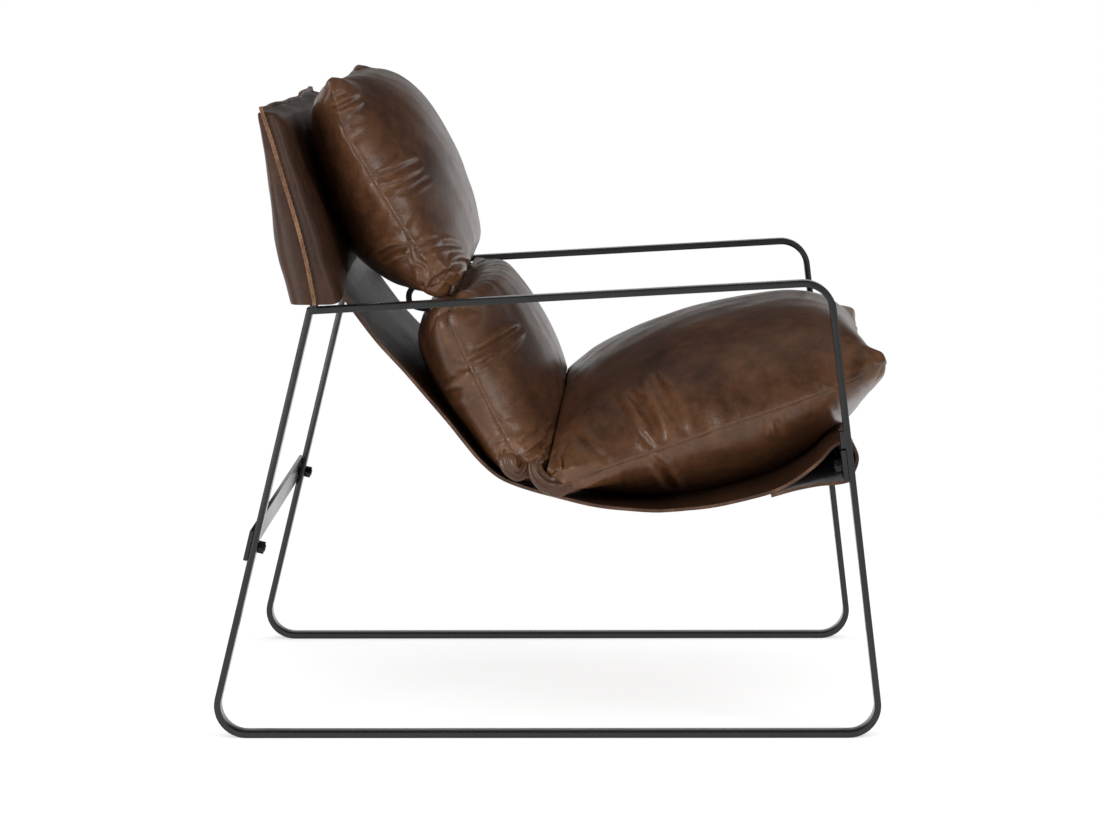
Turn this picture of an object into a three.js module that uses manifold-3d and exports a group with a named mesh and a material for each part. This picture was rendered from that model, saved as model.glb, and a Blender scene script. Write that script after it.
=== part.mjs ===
// Leather sling lounge chair, in millimetres, +Z up, with the sitter facing -Y.
// Everything is drawn in a side view, where x runs forward, y runs up and z runs to the sitter's right.
// One group then turns that side view into the chair's own axes.

import * as THREE from 'three';
import { mergeVertices } from 'three/addons/utils/BufferGeometryUtils.js';
import Module from 'manifold-3d';

const wasm = await Module();
wasm.setup();

// Driving sizes of the steel frame
const frameWidth = 700;
const footLength = 840;
const armHeight = 534;
const barWide = 25;
const barThick = 8;
const edgeEase = 0.8;
const bendRadius = 40;
const rearLegLean = 13.95;
const frontLegLean = 6.65;
const armRise = 3;
const braceHeightShare = 0.45;
const crossbarHeightShare = 0.6367;
const postLean = 14;
const postSetback = 4.5;
const postHeight = 234;
const padHeight = 22;
const padThick = 5.5;
const padGap = 2;

// Driving sizes of the flat bars across the chair
const braceTall = 38;
const braceThick = 5;
const crossbarTall = 38;
const crossbarThick = 6;
const topBarTall = 25;
const topBarThick = 6;
const topBarDrop = 29;
const topBarInset = 4;
const clearance = 0.3;

// Driving sizes of the screws and nuts
const screwDiameter = 9.5;
const screwHead = 18;
const screwHeadDepth = 4.3;
const screwEndProud = 1.2;
const socketAcross = 6;
const socketDepth = 2.6;
const holeClearance = 0.3;
const nutAcross = 14.3;
const nutTall = 8.3;
const nutChamfer = 1;
const overrun = 5;

// Driving sizes of the leather sling
const slingThick = 4;
const slingInset = 8;
const slingBackInset = 76;
const slingExitReach = 32;
const slingSag = 10;
const loopTopSlack = 5;
const loopFrontSlack = 12.5;
const tailLength = 70;

// Driving sizes of the leather pocket over the back posts
const panelThick = 3;
const seamFlange = 7;
const pocketEase = 5.5;
const pocketTopEase = 12;
const pocketTopSag = 3;
const frontBulgeTop = 22;
const frontBulgeHem = 36;
const rearBulgeTop = 7.3;
const rearBulgeHem = 28;
const hemGap = 5;
const hemLift = 7;
const seamBow = 10;

// Driving sizes of the three cushions
const seamEdge = 5;
const backCushionInset = 30;
const seatCushionInset = 15;
const headSeamBow = 11;
const cushionPullIn = 14;
const seatEarLift = 12;
const tieDiameter = 7.5;
const tieReach = 150;
const tieBow = 9;
const restGap = 1.2;
const loopLift = 4;
const loopPlateau = 22;

// Counts of facets
const bendSteps = 12;
const roundSteps = 24;
const tieSides = 8;
const hexSides = 6;

// Colours read from the finish of each material
const finishes = {
  steel: { color: 0x26262a, roughness: 0.45, metalness: 0.6 },
  hardware: { color: 0x151517, roughness: 0.5, metalness: 0.6 },
  sling: { color: 0x3d2418, roughness: 0.5, metalness: 0 },
  cushion: { color: 0x4a2d1c, roughness: 0.38, metalness: 0 },
  elastic: { color: 0x101010, roughness: 0.9, metalness: 0 },
};

// Small helpers for the side view
const degrees = THREE.MathUtils.degToRad;
const at = (forward, up) => new THREE.Vector2(forward, up);
const leaning = (angle) => at(Math.sin(degrees(angle)), Math.cos(degrees(angle)));
const squareTo = (direction) => at(direction.y, -direction.x);
const step = (from, ...moves) => {
  const point = from.clone();
  for (const [direction, distance] of moves) point.addScaledVector(direction, distance);
  return point;
};

function crossing(p, along, q, other) {
  const turn = along.x * other.y - along.y * other.x;
  const gap = q.clone().sub(p);
  return step(p, [along, (gap.x * other.y - gap.y * other.x) / turn]);
}

// Closed outline with some of its corners bent to a radius
function bentOutline(path, corners) {
  const count = corners.length;
  corners.forEach(({ corner, radius = 0 }, i) => {
    const before = corners[(i + count - 1) % count].corner.clone().sub(corner).normalize();
    const after = corners[(i + 1) % count].corner.clone().sub(corner).normalize();
    if (radius === 0) {
      if (i === 0) path.moveTo(corner.x, corner.y);
      else path.lineTo(corner.x, corner.y);
      return;
    }
    const half = Math.acos(THREE.MathUtils.clamp(before.dot(after), -1, 1)) / 2;
    const reach = radius / Math.tan(half);
    const middle = before.clone().add(after).normalize();
    const centre = step(corner, [middle, radius / Math.sin(half)]);
    const first = step(corner, [before, reach]);
    const start = Math.atan2(first.y - centre.y, first.x - centre.x);
    const sweep = Math.PI - 2 * half;
    const way = Math.sign(before.x * after.y - before.y * after.x) || 1;
    for (let k = 0; k <= bendSteps; k += 1) {
      const angle = start - (way * sweep * k) / bendSteps;
      const x = centre.x + radius * Math.cos(angle);
      const y = centre.y + radius * Math.sin(angle);
      if (i === 0 && k === 0) path.moveTo(x, y);
      else path.lineTo(x, y);
    }
  });
  path.closePath();
  return path;
}

// Solids for cutting and joining
function toSolid(geometry) {
  const bare = geometry.index ? geometry.toNonIndexed() : geometry.clone();
  bare.deleteAttribute('normal');
  bare.deleteAttribute('uv');
  const merged = mergeVertices(bare);
  return new wasm.Manifold(new wasm.Mesh({
    numProp: 3,
    vertProperties: new Float32Array(merged.attributes.position.array),
    triVerts: new Uint32Array(merged.index.array),
  }));
}

function toGeometry(solid) {
  const mesh = solid.getMesh();
  const geometry = new THREE.BufferGeometry();
  geometry.setAttribute('position', new THREE.BufferAttribute(mesh.vertProperties, 3));
  geometry.setIndex(new THREE.BufferAttribute(mesh.triVerts, 1));
  return geometry;
}

function drilled(geometry, cutters) {
  let solid = toSolid(geometry);
  for (const cutter of cutters) solid = solid.subtract(toSolid(cutter));
  return toGeometry(solid);
}

// Closed shell between two surfaces that are given over u and v from 0 to 1
function shellBetween(front, back, uSteps, vSteps) {
  const points = [];
  for (const surface of [front, back]) {
    for (let i = 0; i <= uSteps; i += 1) {
      for (let j = 0; j <= vSteps; j += 1) points.push(...surface(i / uSteps, j / vSteps).toArray());
    }
  }
  const row = vSteps + 1;
  const layer = (uSteps + 1) * row;
  const node = (side, i, j) => side * layer + i * row + j;
  const faces = [];
  const quad = (a, b, c, d) => faces.push(a, b, c, a, c, d);
  for (let i = 0; i < uSteps; i += 1) {
    for (let j = 0; j < vSteps; j += 1) {
      quad(node(0, i, j), node(0, i + 1, j), node(0, i + 1, j + 1), node(0, i, j + 1));
      quad(node(1, i, j), node(1, i, j + 1), node(1, i + 1, j + 1), node(1, i + 1, j));
    }
  }
  for (let i = 0; i < uSteps; i += 1) {
    quad(node(0, i, 0), node(1, i, 0), node(1, i + 1, 0), node(0, i + 1, 0));
    quad(node(0, i, vSteps), node(0, i + 1, vSteps), node(1, i + 1, vSteps), node(1, i, vSteps));
  }
  for (let j = 0; j < vSteps; j += 1) {
    quad(node(0, 0, j), node(0, 0, j + 1), node(1, 0, j + 1), node(1, 0, j));
    quad(node(0, uSteps, j), node(1, uSteps, j), node(1, uSteps, j + 1), node(0, uSteps, j + 1));
  }
  let volume = 0;
  const corner = [0, 1, 2].map(() => new THREE.Vector3());
  for (let k = 0; k < faces.length; k += 3) {
    corner.forEach((c, n) => c.fromArray(points, faces[k + n] * 3));
    volume += corner[0].dot(corner[1].clone().cross(corner[2]));
  }
  if (volume < 0) {
    for (let k = 0; k < faces.length; k += 3) [faces[k + 1], faces[k + 2]] = [faces[k + 2], faces[k + 1]];
  }
  const geometry = new THREE.BufferGeometry();
  geometry.setAttribute('position', new THREE.Float32BufferAttribute(points, 3));
  geometry.setIndex(faces);
  return geometry;
}

// The chair and its side view group
const chair = new THREE.Group();
const sideView = new THREE.Group();
sideView.quaternion.setFromRotationMatrix(new THREE.Matrix4().makeBasis(
  new THREE.Vector3(0, -1, 0), new THREE.Vector3(0, 0, 1), new THREE.Vector3(-1, 0, 0),
));
chair.add(sideView);

function addPiece(name, geometry, finish) {
  const mesh = new THREE.Mesh(geometry, new THREE.MeshStandardMaterial(finishes[finish]));
  mesh.name = name;
  sideView.add(mesh);
  return mesh;
}

// Lines of the side frame's outer faces
const rearLeg = leaning(rearLegLean);
const frontLeg = leaning(-frontLegLean);
const arm = at(Math.cos(degrees(armRise)), Math.sin(degrees(armRise)));
const floor = at(1, 0);
const post = leaning(-postLean);
const rearFoot = at(0, 0);
const frontFoot = at(footLength, 0);
const rearTop = step(rearFoot, [rearLeg, armHeight / rearLeg.y]);
const frontTop = crossing(frontFoot, frontLeg, rearTop, arm);

// The same lines on the inside of the bar
const inRear = step(rearFoot, [squareTo(rearLeg), barThick]);
const inFront = step(frontFoot, [squareTo(frontLeg), -barThick]);
const inArm = step(rearTop, [squareTo(arm), barThick]);
const inFloor = at(0, barThick);

// Places on the frame that the bars across it sit on
const postRearFoot = step(rearTop, [arm, postSetback]);
const postFrontLine = step(postRearFoot, [squareTo(post), barThick]);
const postFrontFoot = crossing(postFrontLine, post, rearTop, arm);
const postTopRear = step(postRearFoot, [post, postHeight]);
const postTopFront = step(postTopRear, [squareTo(post), barThick]);
const onRearLeg = step(rearFoot, [rearLeg, (braceHeightShare * armHeight) / rearLeg.y]);
const onFrontLeg = step(
  frontFoot,
  [frontLeg, (crossbarHeightShare * armHeight) / frontLeg.y],
  [squareTo(frontLeg), -barThick],
);
const onPost = step(postTopFront, [post, -topBarDrop]);

// One side frame: a bent loop of flat bar with the back post and a small pad welded on
function sideFrameOutline() {
  const shape = bentOutline(new THREE.Shape(), [
    { corner: rearFoot, radius: bendRadius },
    { corner: frontFoot, radius: bendRadius },
    { corner: frontTop, radius: bendRadius },
    { corner: postFrontFoot },
    { corner: postTopFront },
    { corner: postTopRear },
    { corner: postRearFoot },
    { corner: rearTop },
  ]);
  const inside = bendRadius - barThick;
  const padLow = step(onFrontLeg, [frontLeg, crossbarTall / 2 + padGap]);
  const padHigh = step(padLow, [frontLeg, padHeight]);
  const outward = squareTo(frontLeg);
  shape.holes.push(bentOutline(new THREE.Path(), [
    { corner: crossing(inRear, rearLeg, inFloor, floor), radius: inside },
    { corner: crossing(inFront, frontLeg, inFloor, floor), radius: inside },
    { corner: padLow },
    { corner: step(padLow, [outward, -padThick]) },
    { corner: step(padHigh, [outward, -padThick]) },
    { corner: padHigh },
    { corner: crossing(inFront, frontLeg, inArm, arm), radius: inside },
    { corner: crossing(inRear, rearLeg, inArm, arm) },
  ]));
  return shape;
}

// A round or six-sided tool or piece that stands on a bar, pointing along a direction
function pointed(geometry, place, direction, side) {
  geometry.rotateZ(Math.atan2(direction.y, direction.x) - Math.PI / 2);
  geometry.translate(place.x, place.y, side);
  return geometry;
}

function shankHole(place, direction, side, reach) {
  const radius = screwDiameter / 2 + holeClearance;
  return pointed(new THREE.CylinderGeometry(radius, radius, 2 * reach, roundSteps), place, direction, side);
}

// The countersink opens against the direction in which the screw points
function countersink(face, direction, side) {
  const wide = screwHead / 2 + holeClearance;
  const narrow = screwDiameter / 2 + holeClearance;
  const profile = [
    at(0, -overrun), at(wide, -overrun), at(wide, clearance), at(narrow, screwHeadDepth + clearance),
    at(0, screwHeadDepth + clearance),
  ];
  return pointed(new THREE.LatheGeometry(profile, roundSteps), face, direction, side);
}

function screwSolid(length) {
  const shank = screwDiameter / 2;
  const profile = [
    at(0, 0), at(screwHead / 2, 0), at(screwHead / 2, clearance), at(shank, screwHeadDepth),
    at(shank, length - nutChamfer), at(shank - nutChamfer, length), at(0, length),
  ];
  const corner = socketAcross / Math.sqrt(3);
  const socket = new THREE.CylinderGeometry(corner, corner, 2 * socketDepth, hexSides);
  return drilled(new THREE.LatheGeometry(profile, roundSteps), [socket]);
}

function nutSolid() {
  const corner = nutAcross / Math.sqrt(3);
  const hexagon = new THREE.CylinderGeometry(corner, corner, nutTall, hexSides);
  hexagon.translate(0, nutTall / 2, 0);
  const outside = corner + clearance;
  const inside = outside - nutChamfer;
  const dome = new THREE.LatheGeometry([
    at(0, -clearance), at(inside + clearance, -clearance), at(outside, nutChamfer / 2),
    at(outside, nutTall - nutChamfer / 2), at(inside + clearance, nutTall + clearance),
    at(0, nutTall + clearance),
  ], roundSteps);
  const radius = screwDiameter / 2 + holeClearance;
  const bore = new THREE.CylinderGeometry(radius, radius, 4 * nutTall, roundSteps);
  return toGeometry(toSolid(hexagon).intersect(toSolid(dome)).subtract(toSolid(bore)));
}

// A flat bar across the chair, given by the middle of its section in the side view
function flatBar(middle, upward, tall, thick, length) {
  const outward = squareTo(upward);
  const corner = (a, b) => ({
    corner: step(middle, [upward, (a * tall) / 2], [outward, (b * thick) / 2]),
    radius: edgeEase,
  });
  const section = [corner(-1, -1), corner(-1, 1), corner(1, 1), corner(1, -1)];
  const shape = bentOutline(new THREE.Shape(), section);
  const geometry = new THREE.ExtrudeGeometry(shape, { depth: length, bevelEnabled: false });
  geometry.translate(0, 0, -length / 2);
  return geometry;
}

const sides = [
  { name: 'left', side: -1 },
  { name: 'right', side: 1 },
];
const barCentre = (frameWidth - barWide) / 2;

// Places of the three screwed joints: the face under the screw head, its direction and what it holds
const rearward = (upward) => squareTo(upward).negate();
const braceMiddle = step(onRearLeg, [squareTo(rearLeg), -(braceThick / 2 + clearance)]);
const crossbarMiddle = step(onFrontLeg, [squareTo(frontLeg), -(crossbarThick / 2 + clearance)]);
const topBarMiddle = step(onPost, [squareTo(post), topBarThick / 2 + clearance]);
const joints = {
  rear: {
    face: step(braceMiddle, [squareTo(rearLeg), -braceThick / 2]),
    direction: squareTo(rearLeg),
    grip: braceThick + clearance + barThick,
    nut: true,
  },
  front: {
    face: step(onFrontLeg, [squareTo(frontLeg), barThick]),
    direction: rearward(frontLeg),
    grip: barThick + clearance + crossbarThick,
    nut: true,
  },
  top: {
    face: step(onPost, [squareTo(post), -barThick]),
    direction: squareTo(post),
    grip: barThick + clearance + topBarThick,
    nut: false,
  },
};
const shankHoles = (side) => Object.values(joints).map(
  (joint) => shankHole(joint.face, joint.direction, side, joint.grip + overrun),
);
const sinks = (names, side) => names.map(
  (name) => countersink(joints[name].face, joints[name].direction, side),
);

for (const { name, side } of sides) {
  const loop = new THREE.ExtrudeGeometry(sideFrameOutline(), {
    depth: barWide - 2 * edgeEase,
    bevelEnabled: true,
    bevelThickness: edgeEase,
    bevelSize: edgeEase,
    bevelOffset: -edgeEase,
    bevelSegments: 1,
  });
  loop.translate(0, 0, side * barCentre - barWide / 2 + edgeEase);
  const cutters = [...shankHoles(side * barCentre), ...sinks(['front', 'top'], side * barCentre)];
  addPiece(`side_frame_${name}`, drilled(loop, cutters), 'steel');
}

const bothSides = (make) => sides.flatMap(({ side }) => make(side * barCentre));
const onlyJoint = (name) => (side) => [
  shankHole(joints[name].face, joints[name].direction, side, joints[name].grip + overrun),
];
addPiece('rear_brace', drilled(
  flatBar(braceMiddle, rearLeg, braceTall, braceThick, frameWidth),
  [...bothSides(onlyJoint('rear')), ...bothSides((side) => sinks(['rear'], side))],
), 'steel');
addPiece('front_crossbar', drilled(
  flatBar(crossbarMiddle, frontLeg, crossbarTall, crossbarThick, frameWidth),
  bothSides(onlyJoint('front')),
), 'steel');
addPiece('back_top_bar', drilled(
  flatBar(topBarMiddle, post, topBarTall, topBarThick, frameWidth - 2 * topBarInset),
  bothSides(onlyJoint('top')),
), 'steel');

for (const [joint, { face, direction, grip, nut }] of Object.entries(joints)) {
  const length = nut ? grip + clearance + nutTall + screwEndProud : grip;
  for (const { name, side } of sides) {
    const screw = pointed(screwSolid(length), face, direction, side * barCentre);
    addPiece(`${joint}_screw_${name}`, screw, 'hardware');
    if (!nut) continue;
    const seat = step(face, [direction, grip + clearance]);
    addPiece(`${joint}_nut_${name}`, pointed(nutSolid(), seat, direction, side * barCentre), 'hardware');
  }
}

// Places between the sling's way out of the pocket and the front crossbar,
// as shares of that run and of the arm height
const slingExit = rearTop.x + slingExitReach;
const inShares = ([forward, up]) => at(
  THREE.MathUtils.lerp(slingExit, crossbarMiddle.x, forward),
  up * armHeight,
);
const shareAlong = (forward) => (forward - slingExit) / (crossbarMiddle.x - slingExit);
const runShares = [
  [-0.0002, 1.0243], [0.0288, 0.9704], [0.0767, 0.8993], [0.1239, 0.8408], [0.1716, 0.7768],
  [0.2668, 0.6423], [0.2905, 0.6146], [0.3140, 0.5923], [0.3374, 0.5777],
  [0.3843, 0.5584], [0.4322, 0.5451], [0.5037, 0.5301], [0.5749, 0.5219], [0.6332, 0.5184],
  [0.6931, 0.5262], [0.7641, 0.5386], [0.8342, 0.5567], [0.8767, 0.5740], [0.9142, 0.6000],
  [0.9536, 0.6373], [0.9704, 0.6601],
];
const flapShares = [
  [0.9536, 0.5824], [0.9071, 0.5721], [0.8831, 0.5646], [0.8575, 0.5558],
];

// The loop over the front crossbar, as shares of its reach forward
// and of its rise above the middle of the bar
const loopShares = [
  [-0.57, 0.81], [0, 0.95], [0.25, 1], [0.62, 0.9], [0.87, 0.6], [1, 0.16],
  [0.87, -0.2], [0.63, -0.49], [0.42, -0.73], [0.26, -0.89], [-0.11, -0.94], [-0.67, -0.96],
];

function slingCentre() {
  const half = slingThick / 2;
  const outPost = squareTo(post);
  const outLeg = squareTo(frontLeg);
  const roundTopBar = topBarThick / 2 + half + 2 * clearance;
  const overTopBar = topBarTall / 2 + half + 2 * clearance;
  const loopReach = crossbarThick / 2 + half + loopFrontSlack;
  const loopRise = crossbarTall / 2 + half + loopTopSlack;
  const nearTopBar = (out, up) => step(topBarMiddle, [outPost, out], [post, up]);
  const nearCrossbar = ([out, up]) => step(
    crossbarMiddle,
    [outLeg, out * loopReach],
    [frontLeg, up * loopRise],
  );
  return [
    nearTopBar(-roundTopBar, -tailLength),
    nearTopBar(-roundTopBar - clearance, topBarTall / 4),
    nearTopBar(-roundTopBar, overTopBar - half),
    nearTopBar(0, overTopBar + half),
    nearTopBar(roundTopBar, overTopBar - half),
    nearTopBar(roundTopBar + clearance, topBarTall / 4),
    nearTopBar(roundTopBar, -topBarTall),
    ...runShares.map(inShares),
    ...loopShares.map(nearCrossbar),
    ...flapShares.map(inShares),
  ].map((p) => new THREE.Vector3(p.x, p.y, 0));
}

const slingPath = slingCentre();
const slingSteps = 2 * (slingPath.length - 1);
const slingPoints = new THREE.CatmullRomCurve3(slingPath, false, 'centripetal').getPoints(slingSteps);
const slingFrontHalf = frameWidth / 2 - barWide - slingInset;
const slingBackHalf = frameWidth / 2 - barWide - slingBackInset;

// The sling is drawn in a little where it hangs from the back
function slingHalfAt(point) {
  const along = shareAlong(point.x);
  return THREE.MathUtils.lerp(slingBackHalf, slingFrontHalf, THREE.MathUtils.smoothstep(along, 0.05, 0.8));
}

// How far the loaded middle of the sling hangs below its edges
function sagAt(point, side) {
  const along = shareAlong(point.x);
  const behind = THREE.MathUtils.smoothstep(along, 0.1, 0.45);
  const ahead = 1 - THREE.MathUtils.smoothstep(along, 0.65, 0.84);
  return slingSag * behind * ahead * Math.max(0, 1 - (side / slingHalfAt(point)) ** 2);
}

function slingSurface(away) {
  return (u, v) => {
    const i = Math.round(u * slingSteps);
    const p = slingPoints[i];
    const before = slingPoints[Math.max(i - 1, 0)];
    const after = slingPoints[Math.min(i + 1, slingSteps)];
    const normal = squareTo(at(after.x - before.x, after.y - before.y).normalize());
    const side = (v * 2 - 1) * slingHalfAt(p);
    const low = sagAt(p, side);
    return new THREE.Vector3(p.x - normal.x * away, p.y - normal.y * away - low, side);
  };
}
const slingFaces = [slingSurface(slingThick / 2), slingSurface(-slingThick / 2)];
addPiece('sling', shellBetween(...slingFaces, slingSteps, 6), 'sling');

// The pocket's side seams run along the middle of the posts, and its panels bulge away from them
const pocketHalfWidth = frameWidth / 2 + pocketEase;
const postMiddleFoot = step(postFrontFoot, [squareTo(post), -barThick / 2]);
const pocketHeight = postHeight + pocketTopEase;
const wideShare = 20;
const fullShare = 0.2;
const hemShare = 8;

function pocketPoint(front, away) {
  return (u, wide) => {
    const inward = Math.min(Math.abs(wide) / pocketHalfWidth, 1);
    const across = (1 - inward ** wideShare) ** fullShare;
    const middle = 1 - inward ** 2;
    const hem = hemGap + (front ? hemLift * (1 - inward ** hemShare) : 0);
    const top = pocketHeight + seamFlange - pocketTopSag * middle;
    const up = hem + (top - hem) * u;
    const closing = Math.min(Math.max(up, 0) / (top - seamFlange), 1);
    const upward = (1 - closing ** wideShare) ** fullShare;
    const deep = front ? frontBulgeHem : rearBulgeHem;
    const high = front ? frontBulgeTop : rearBulgeTop;
    const share = THREE.MathUtils.smoothstep(closing, front ? 0 : 0.2, 0.95);
    const bulge = (deep + (high - deep) * share) * across * upward;
    const bow = seamBow * Math.sin(Math.PI * Math.min(closing, 1) ** 0.6) * (1 - across * upward) ** 2;
    const out = (front ? 1 : -1) * (clearance / 2 + away + bulge);
    const p = step(postMiddleFoot, [post, up], [floor, bow + out]);
    return new THREE.Vector3(p.x, p.y, wide);
  };
}

// Columns and rows lie close together where the leather turns round the posts
const columnShares = [0, 0.3, 0.6, 0.8, 0.9, 0.95, 0.98, 0.993, 1];
const uneven = (surface) => (u, v) => {
  const column = Math.round((v * 2 - 1) * columnShares.length);
  const share = columnShares[Math.abs(column)] ?? (pocketHalfWidth + seamFlange) / pocketHalfWidth;
  return surface(1 - (1 - u) ** 1.5, Math.sign(column) * share * pocketHalfWidth);
};
for (const [name, front] of [['pocket_front_panel', true], ['pocket_back_panel', false]]) {
  const skin = [pocketPoint(front, 0), pocketPoint(front, panelThick)].map(uneven);
  addPiece(name, shellBetween(skin[0], skin[1], 14, 2 * columnShares.length), 'sling');
}

// Depth of the pocket's front at a height, for what leans on it
function pocketFrontAt(point) {
  const up = (point.y - postMiddleFoot.y) / post.y;
  const closing = THREE.MathUtils.clamp(up / pocketHeight, 0, 1);
  const rise = THREE.MathUtils.smoothstep(closing, 0, 0.95);
  const bulge = frontBulgeHem + (frontBulgeTop - frontBulgeHem) * rise;
  return step(postMiddleFoot, [post, up], [floor, bulge + panelThick]).x;
}

// Limits that keep the cushions clear of the sling, the pocket and each other
function pushOut(point, origin, normal, least) {
  const height = (point.x - origin.x) * normal.x + (point.y - origin.y) * normal.y;
  if (height >= least) return;
  point.x += normal.x * (least - height);
  point.y += normal.y * (least - height);
}

function offSling(point, extra) {
  let best = Infinity;
  let nearest = null;
  for (let i = 0; i < slingSteps; i += 1) {
    const a = slingPoints[i];
    const b = slingPoints[i + 1];
    if (b.x <= a.x || a.y > armHeight * 1.1) continue;
    const run = at(b.x - a.x, b.y - a.y);
    const along = (point.x - a.x) * run.x + (point.y - a.y) * run.y;
    const share = THREE.MathUtils.clamp(along / run.lengthSq(), 0, 1);
    const foot = at(a.x + run.x * share, a.y + run.y * share);
    foot.y -= sagAt(foot, point.z);
    const gap = foot.distanceTo(at(point.x, point.y));
    if (gap < best) {
      best = gap;
      nearest = { foot, normal: squareTo(run.normalize()).negate() };
    }
  }
  pushOut(point, nearest.foot, nearest.normal, slingThick / 2 + restGap + extra);
}

// Highest line of the sling and its front loop, with even slopes before and behind the loop
const guardSlopeShare = 0.65;
const aheadOfBar = slingPoints.filter((p) => p.x > crossbarMiddle.x);
const loopTop = aheadOfBar.reduce((best, p) => (p.y > best.y ? p : best));
function loopGuardAt(forward) {
  const aside = Math.max(Math.abs(forward - loopTop.x) - loopPlateau, 0);
  let high = loopTop.y - aside * guardSlopeShare;
  for (let i = 0; i < slingSteps; i += 1) {
    const a = slingPoints[i];
    const b = slingPoints[i + 1];
    if ((forward - a.x) * (forward - b.x) > 0 || a.x === b.x) continue;
    high = Math.max(high, THREE.MathUtils.lerp(a.y, b.y, (forward - a.x) / (b.x - a.x)));
  }
  return high;
}

function offLoop(point, extra) {
  if (shareAlong(point.x) < 0.7) return;
  point.y = Math.max(point.y, loopGuardAt(point.x) + slingThick / 2 + restGap + loopLift + extra);
}

function offPlane(origin, normal) {
  return (point) => pushOut(point, origin, normal, clearance / 2);
}

function offPocket(point, extra) {
  const least = pocketFrontAt(point) + clearance + extra;
  if (point.x < least && point.y > postMiddleFoot.y) point.x = least;
}

// Ends of each cushion's side seam, as shares of the foot length and of the arm height
const headShares = [[-0.0267, 1.5056], [0.2216, 1.0318]];
const lumbarShares = [[0.2216, 1.0056], [0.3930, 0.5993]];
const seatShares = [[0.4250, 0.5730], [1.0897, 0.8427]];
const seamEnds = (shares) => shares.map(inShares);
const between = (a, b) => a.clone().add(b).multiplyScalar(0.5);
const upperFold = between(seamEnds(headShares)[1], seamEnds(lumbarShares)[0]);
const lowerFold = between(seamEnds(lumbarShares)[1], seamEnds(seatShares)[0]);
const upperFoldLine = leaning(44.5);
const lowerFoldLine = leaning(9.3);

// Crown of each face at nine even steps round the section, as shares of its greatest depth
const backCushionWidth = frameWidth - 2 * (barWide + backCushionInset);
const seatCushionWidth = frameWidth - 2 * (barWide + seatCushionInset);
const depthShares = {
  headFront: 0.297, headRear: 0.31, lumbarFront: 0.364, lumbarRear: 0.339, seatTop: 0.269, seatUnder: 0.228,
};
const crowns = {
  headFrontShares: [0.05, 0.42, 0.74, 0.95, 1, 0.91, 0.68, 0.38, 0],
  headRearShares: [0, 0.17, 0.45, 0.71, 0.91, 1, 0.79, 0.45, 0],
  lumbarFrontShares: [0.24, 0.74, 0.9, 0.98, 1, 0.89, 0.66, 0.38, 0.05],
  lumbarRearShares: [0.05, 0.58, 0.9, 0.98, 1, 0.93, 0.8, 0.5, 0],
  seatTopShares: [0.1, 0.6, 0.87, 1, 0.97, 0.89, 0.77, 0.5, 0],
  seatUnderShares: [0, 0.2, 0.55, 0.85, 1, 0.95, 0.66, 0.32, 0],
};

function crownCurve(shares) {
  const points = shares.map((share, i) => new THREE.Vector3(i, share, 0));
  return new THREE.CatmullRomCurve3(points, false, 'catmullrom', 0.5);
}

// A cushion of two crowned faces that meet in one seam all round
function cushion({ ends, width, bow, front, rear, freeStart, freeEnd, earLift, limits }) {
  const [start, end] = seamEnds(ends);
  const along = end.clone().sub(start);
  const length = along.length();
  along.normalize();
  const outward = squareTo(along).negate();
  const faces = [front, rear].map(({ shares, depth, power }) => ({ curve: crownCurve(shares), depth, power }));
  const face = (side) => (u, v) => {
    const angle = u * Math.PI;
    const share = (1 - Math.cos(angle)) / 2;
    const across = -Math.cos(v * Math.PI);
    const { curve, depth, power } = faces[side];
    const falloff = (1 - Math.abs(across) ** power) ** 0.6;
    const away = Math.max(curve.getPoint(u).y, 0) * depth * length * falloff;
    const crown = side ? -away : away;
    const pulled = cushionPullIn * (1 - across ** 2);
    const drawnStart = freeStart ? pulled * (1 - share) ** 3 : 0;
    const drawnEnd = freeEnd ? pulled * share ** 3 : 0;
    const halfWidth = width / 2 - cushionPullIn * Math.sin(angle) * 0.7;
    const edge = (side ? -seamEdge : seamEdge) / 2 + earLift * across ** 8 * share ** 12;
    const p = step(
      start,
      [along, share * length + drawnStart - drawnEnd],
      [outward, crown + edge - bow * Math.sqrt(Math.sin(angle))],
    );
    const point = new THREE.Vector3(p.x, p.y, across * halfWidth);
    for (const limit of limits) limit(point, side ? 0 : seamEdge);
    return point;
  };
  return { front: face(0), rear: face(1) };
}

const headrest = cushion({
  ends: headShares,
  width: backCushionWidth,
  bow: headSeamBow,
  front: { shares: crowns.headFrontShares, depth: depthShares.headFront, power: 2.6 },
  rear: { shares: crowns.headRearShares, depth: depthShares.headRear, power: 2.4 },
  freeStart: true,
  freeEnd: false,
  earLift: 0,
  limits: [offPocket, offPlane(upperFold, rearward(upperFoldLine))],
});
const lumbar = cushion({
  ends: lumbarShares,
  width: backCushionWidth,
  bow: 0,
  front: { shares: crowns.lumbarFrontShares, depth: depthShares.lumbarFront, power: 2.8 },
  rear: { shares: crowns.lumbarRearShares, depth: depthShares.lumbarRear, power: 3 },
  freeStart: false,
  freeEnd: false,
  earLift: 0,
  limits: [
    offSling,
    offPlane(upperFold, squareTo(upperFoldLine)),
    offPlane(lowerFold, rearward(lowerFoldLine)),
  ],
});
const seat = cushion({
  ends: seatShares,
  width: seatCushionWidth,
  bow: 0,
  front: { shares: crowns.seatTopShares, depth: depthShares.seatTop, power: 2.8 },
  rear: { shares: crowns.seatUnderShares, depth: depthShares.seatUnder, power: 3 },
  freeStart: false,
  freeEnd: true,
  earLift: seatEarLift,
  limits: [offSling, offLoop, offPlane(lowerFold, squareTo(lowerFoldLine))],
});
for (const [name, shape] of Object.entries({ headrest, lumbar, seat })) {
  addPiece(`${name}_cushion`, shellBetween(shape.front, shape.rear, 18, 20), 'cushion');
}

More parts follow.
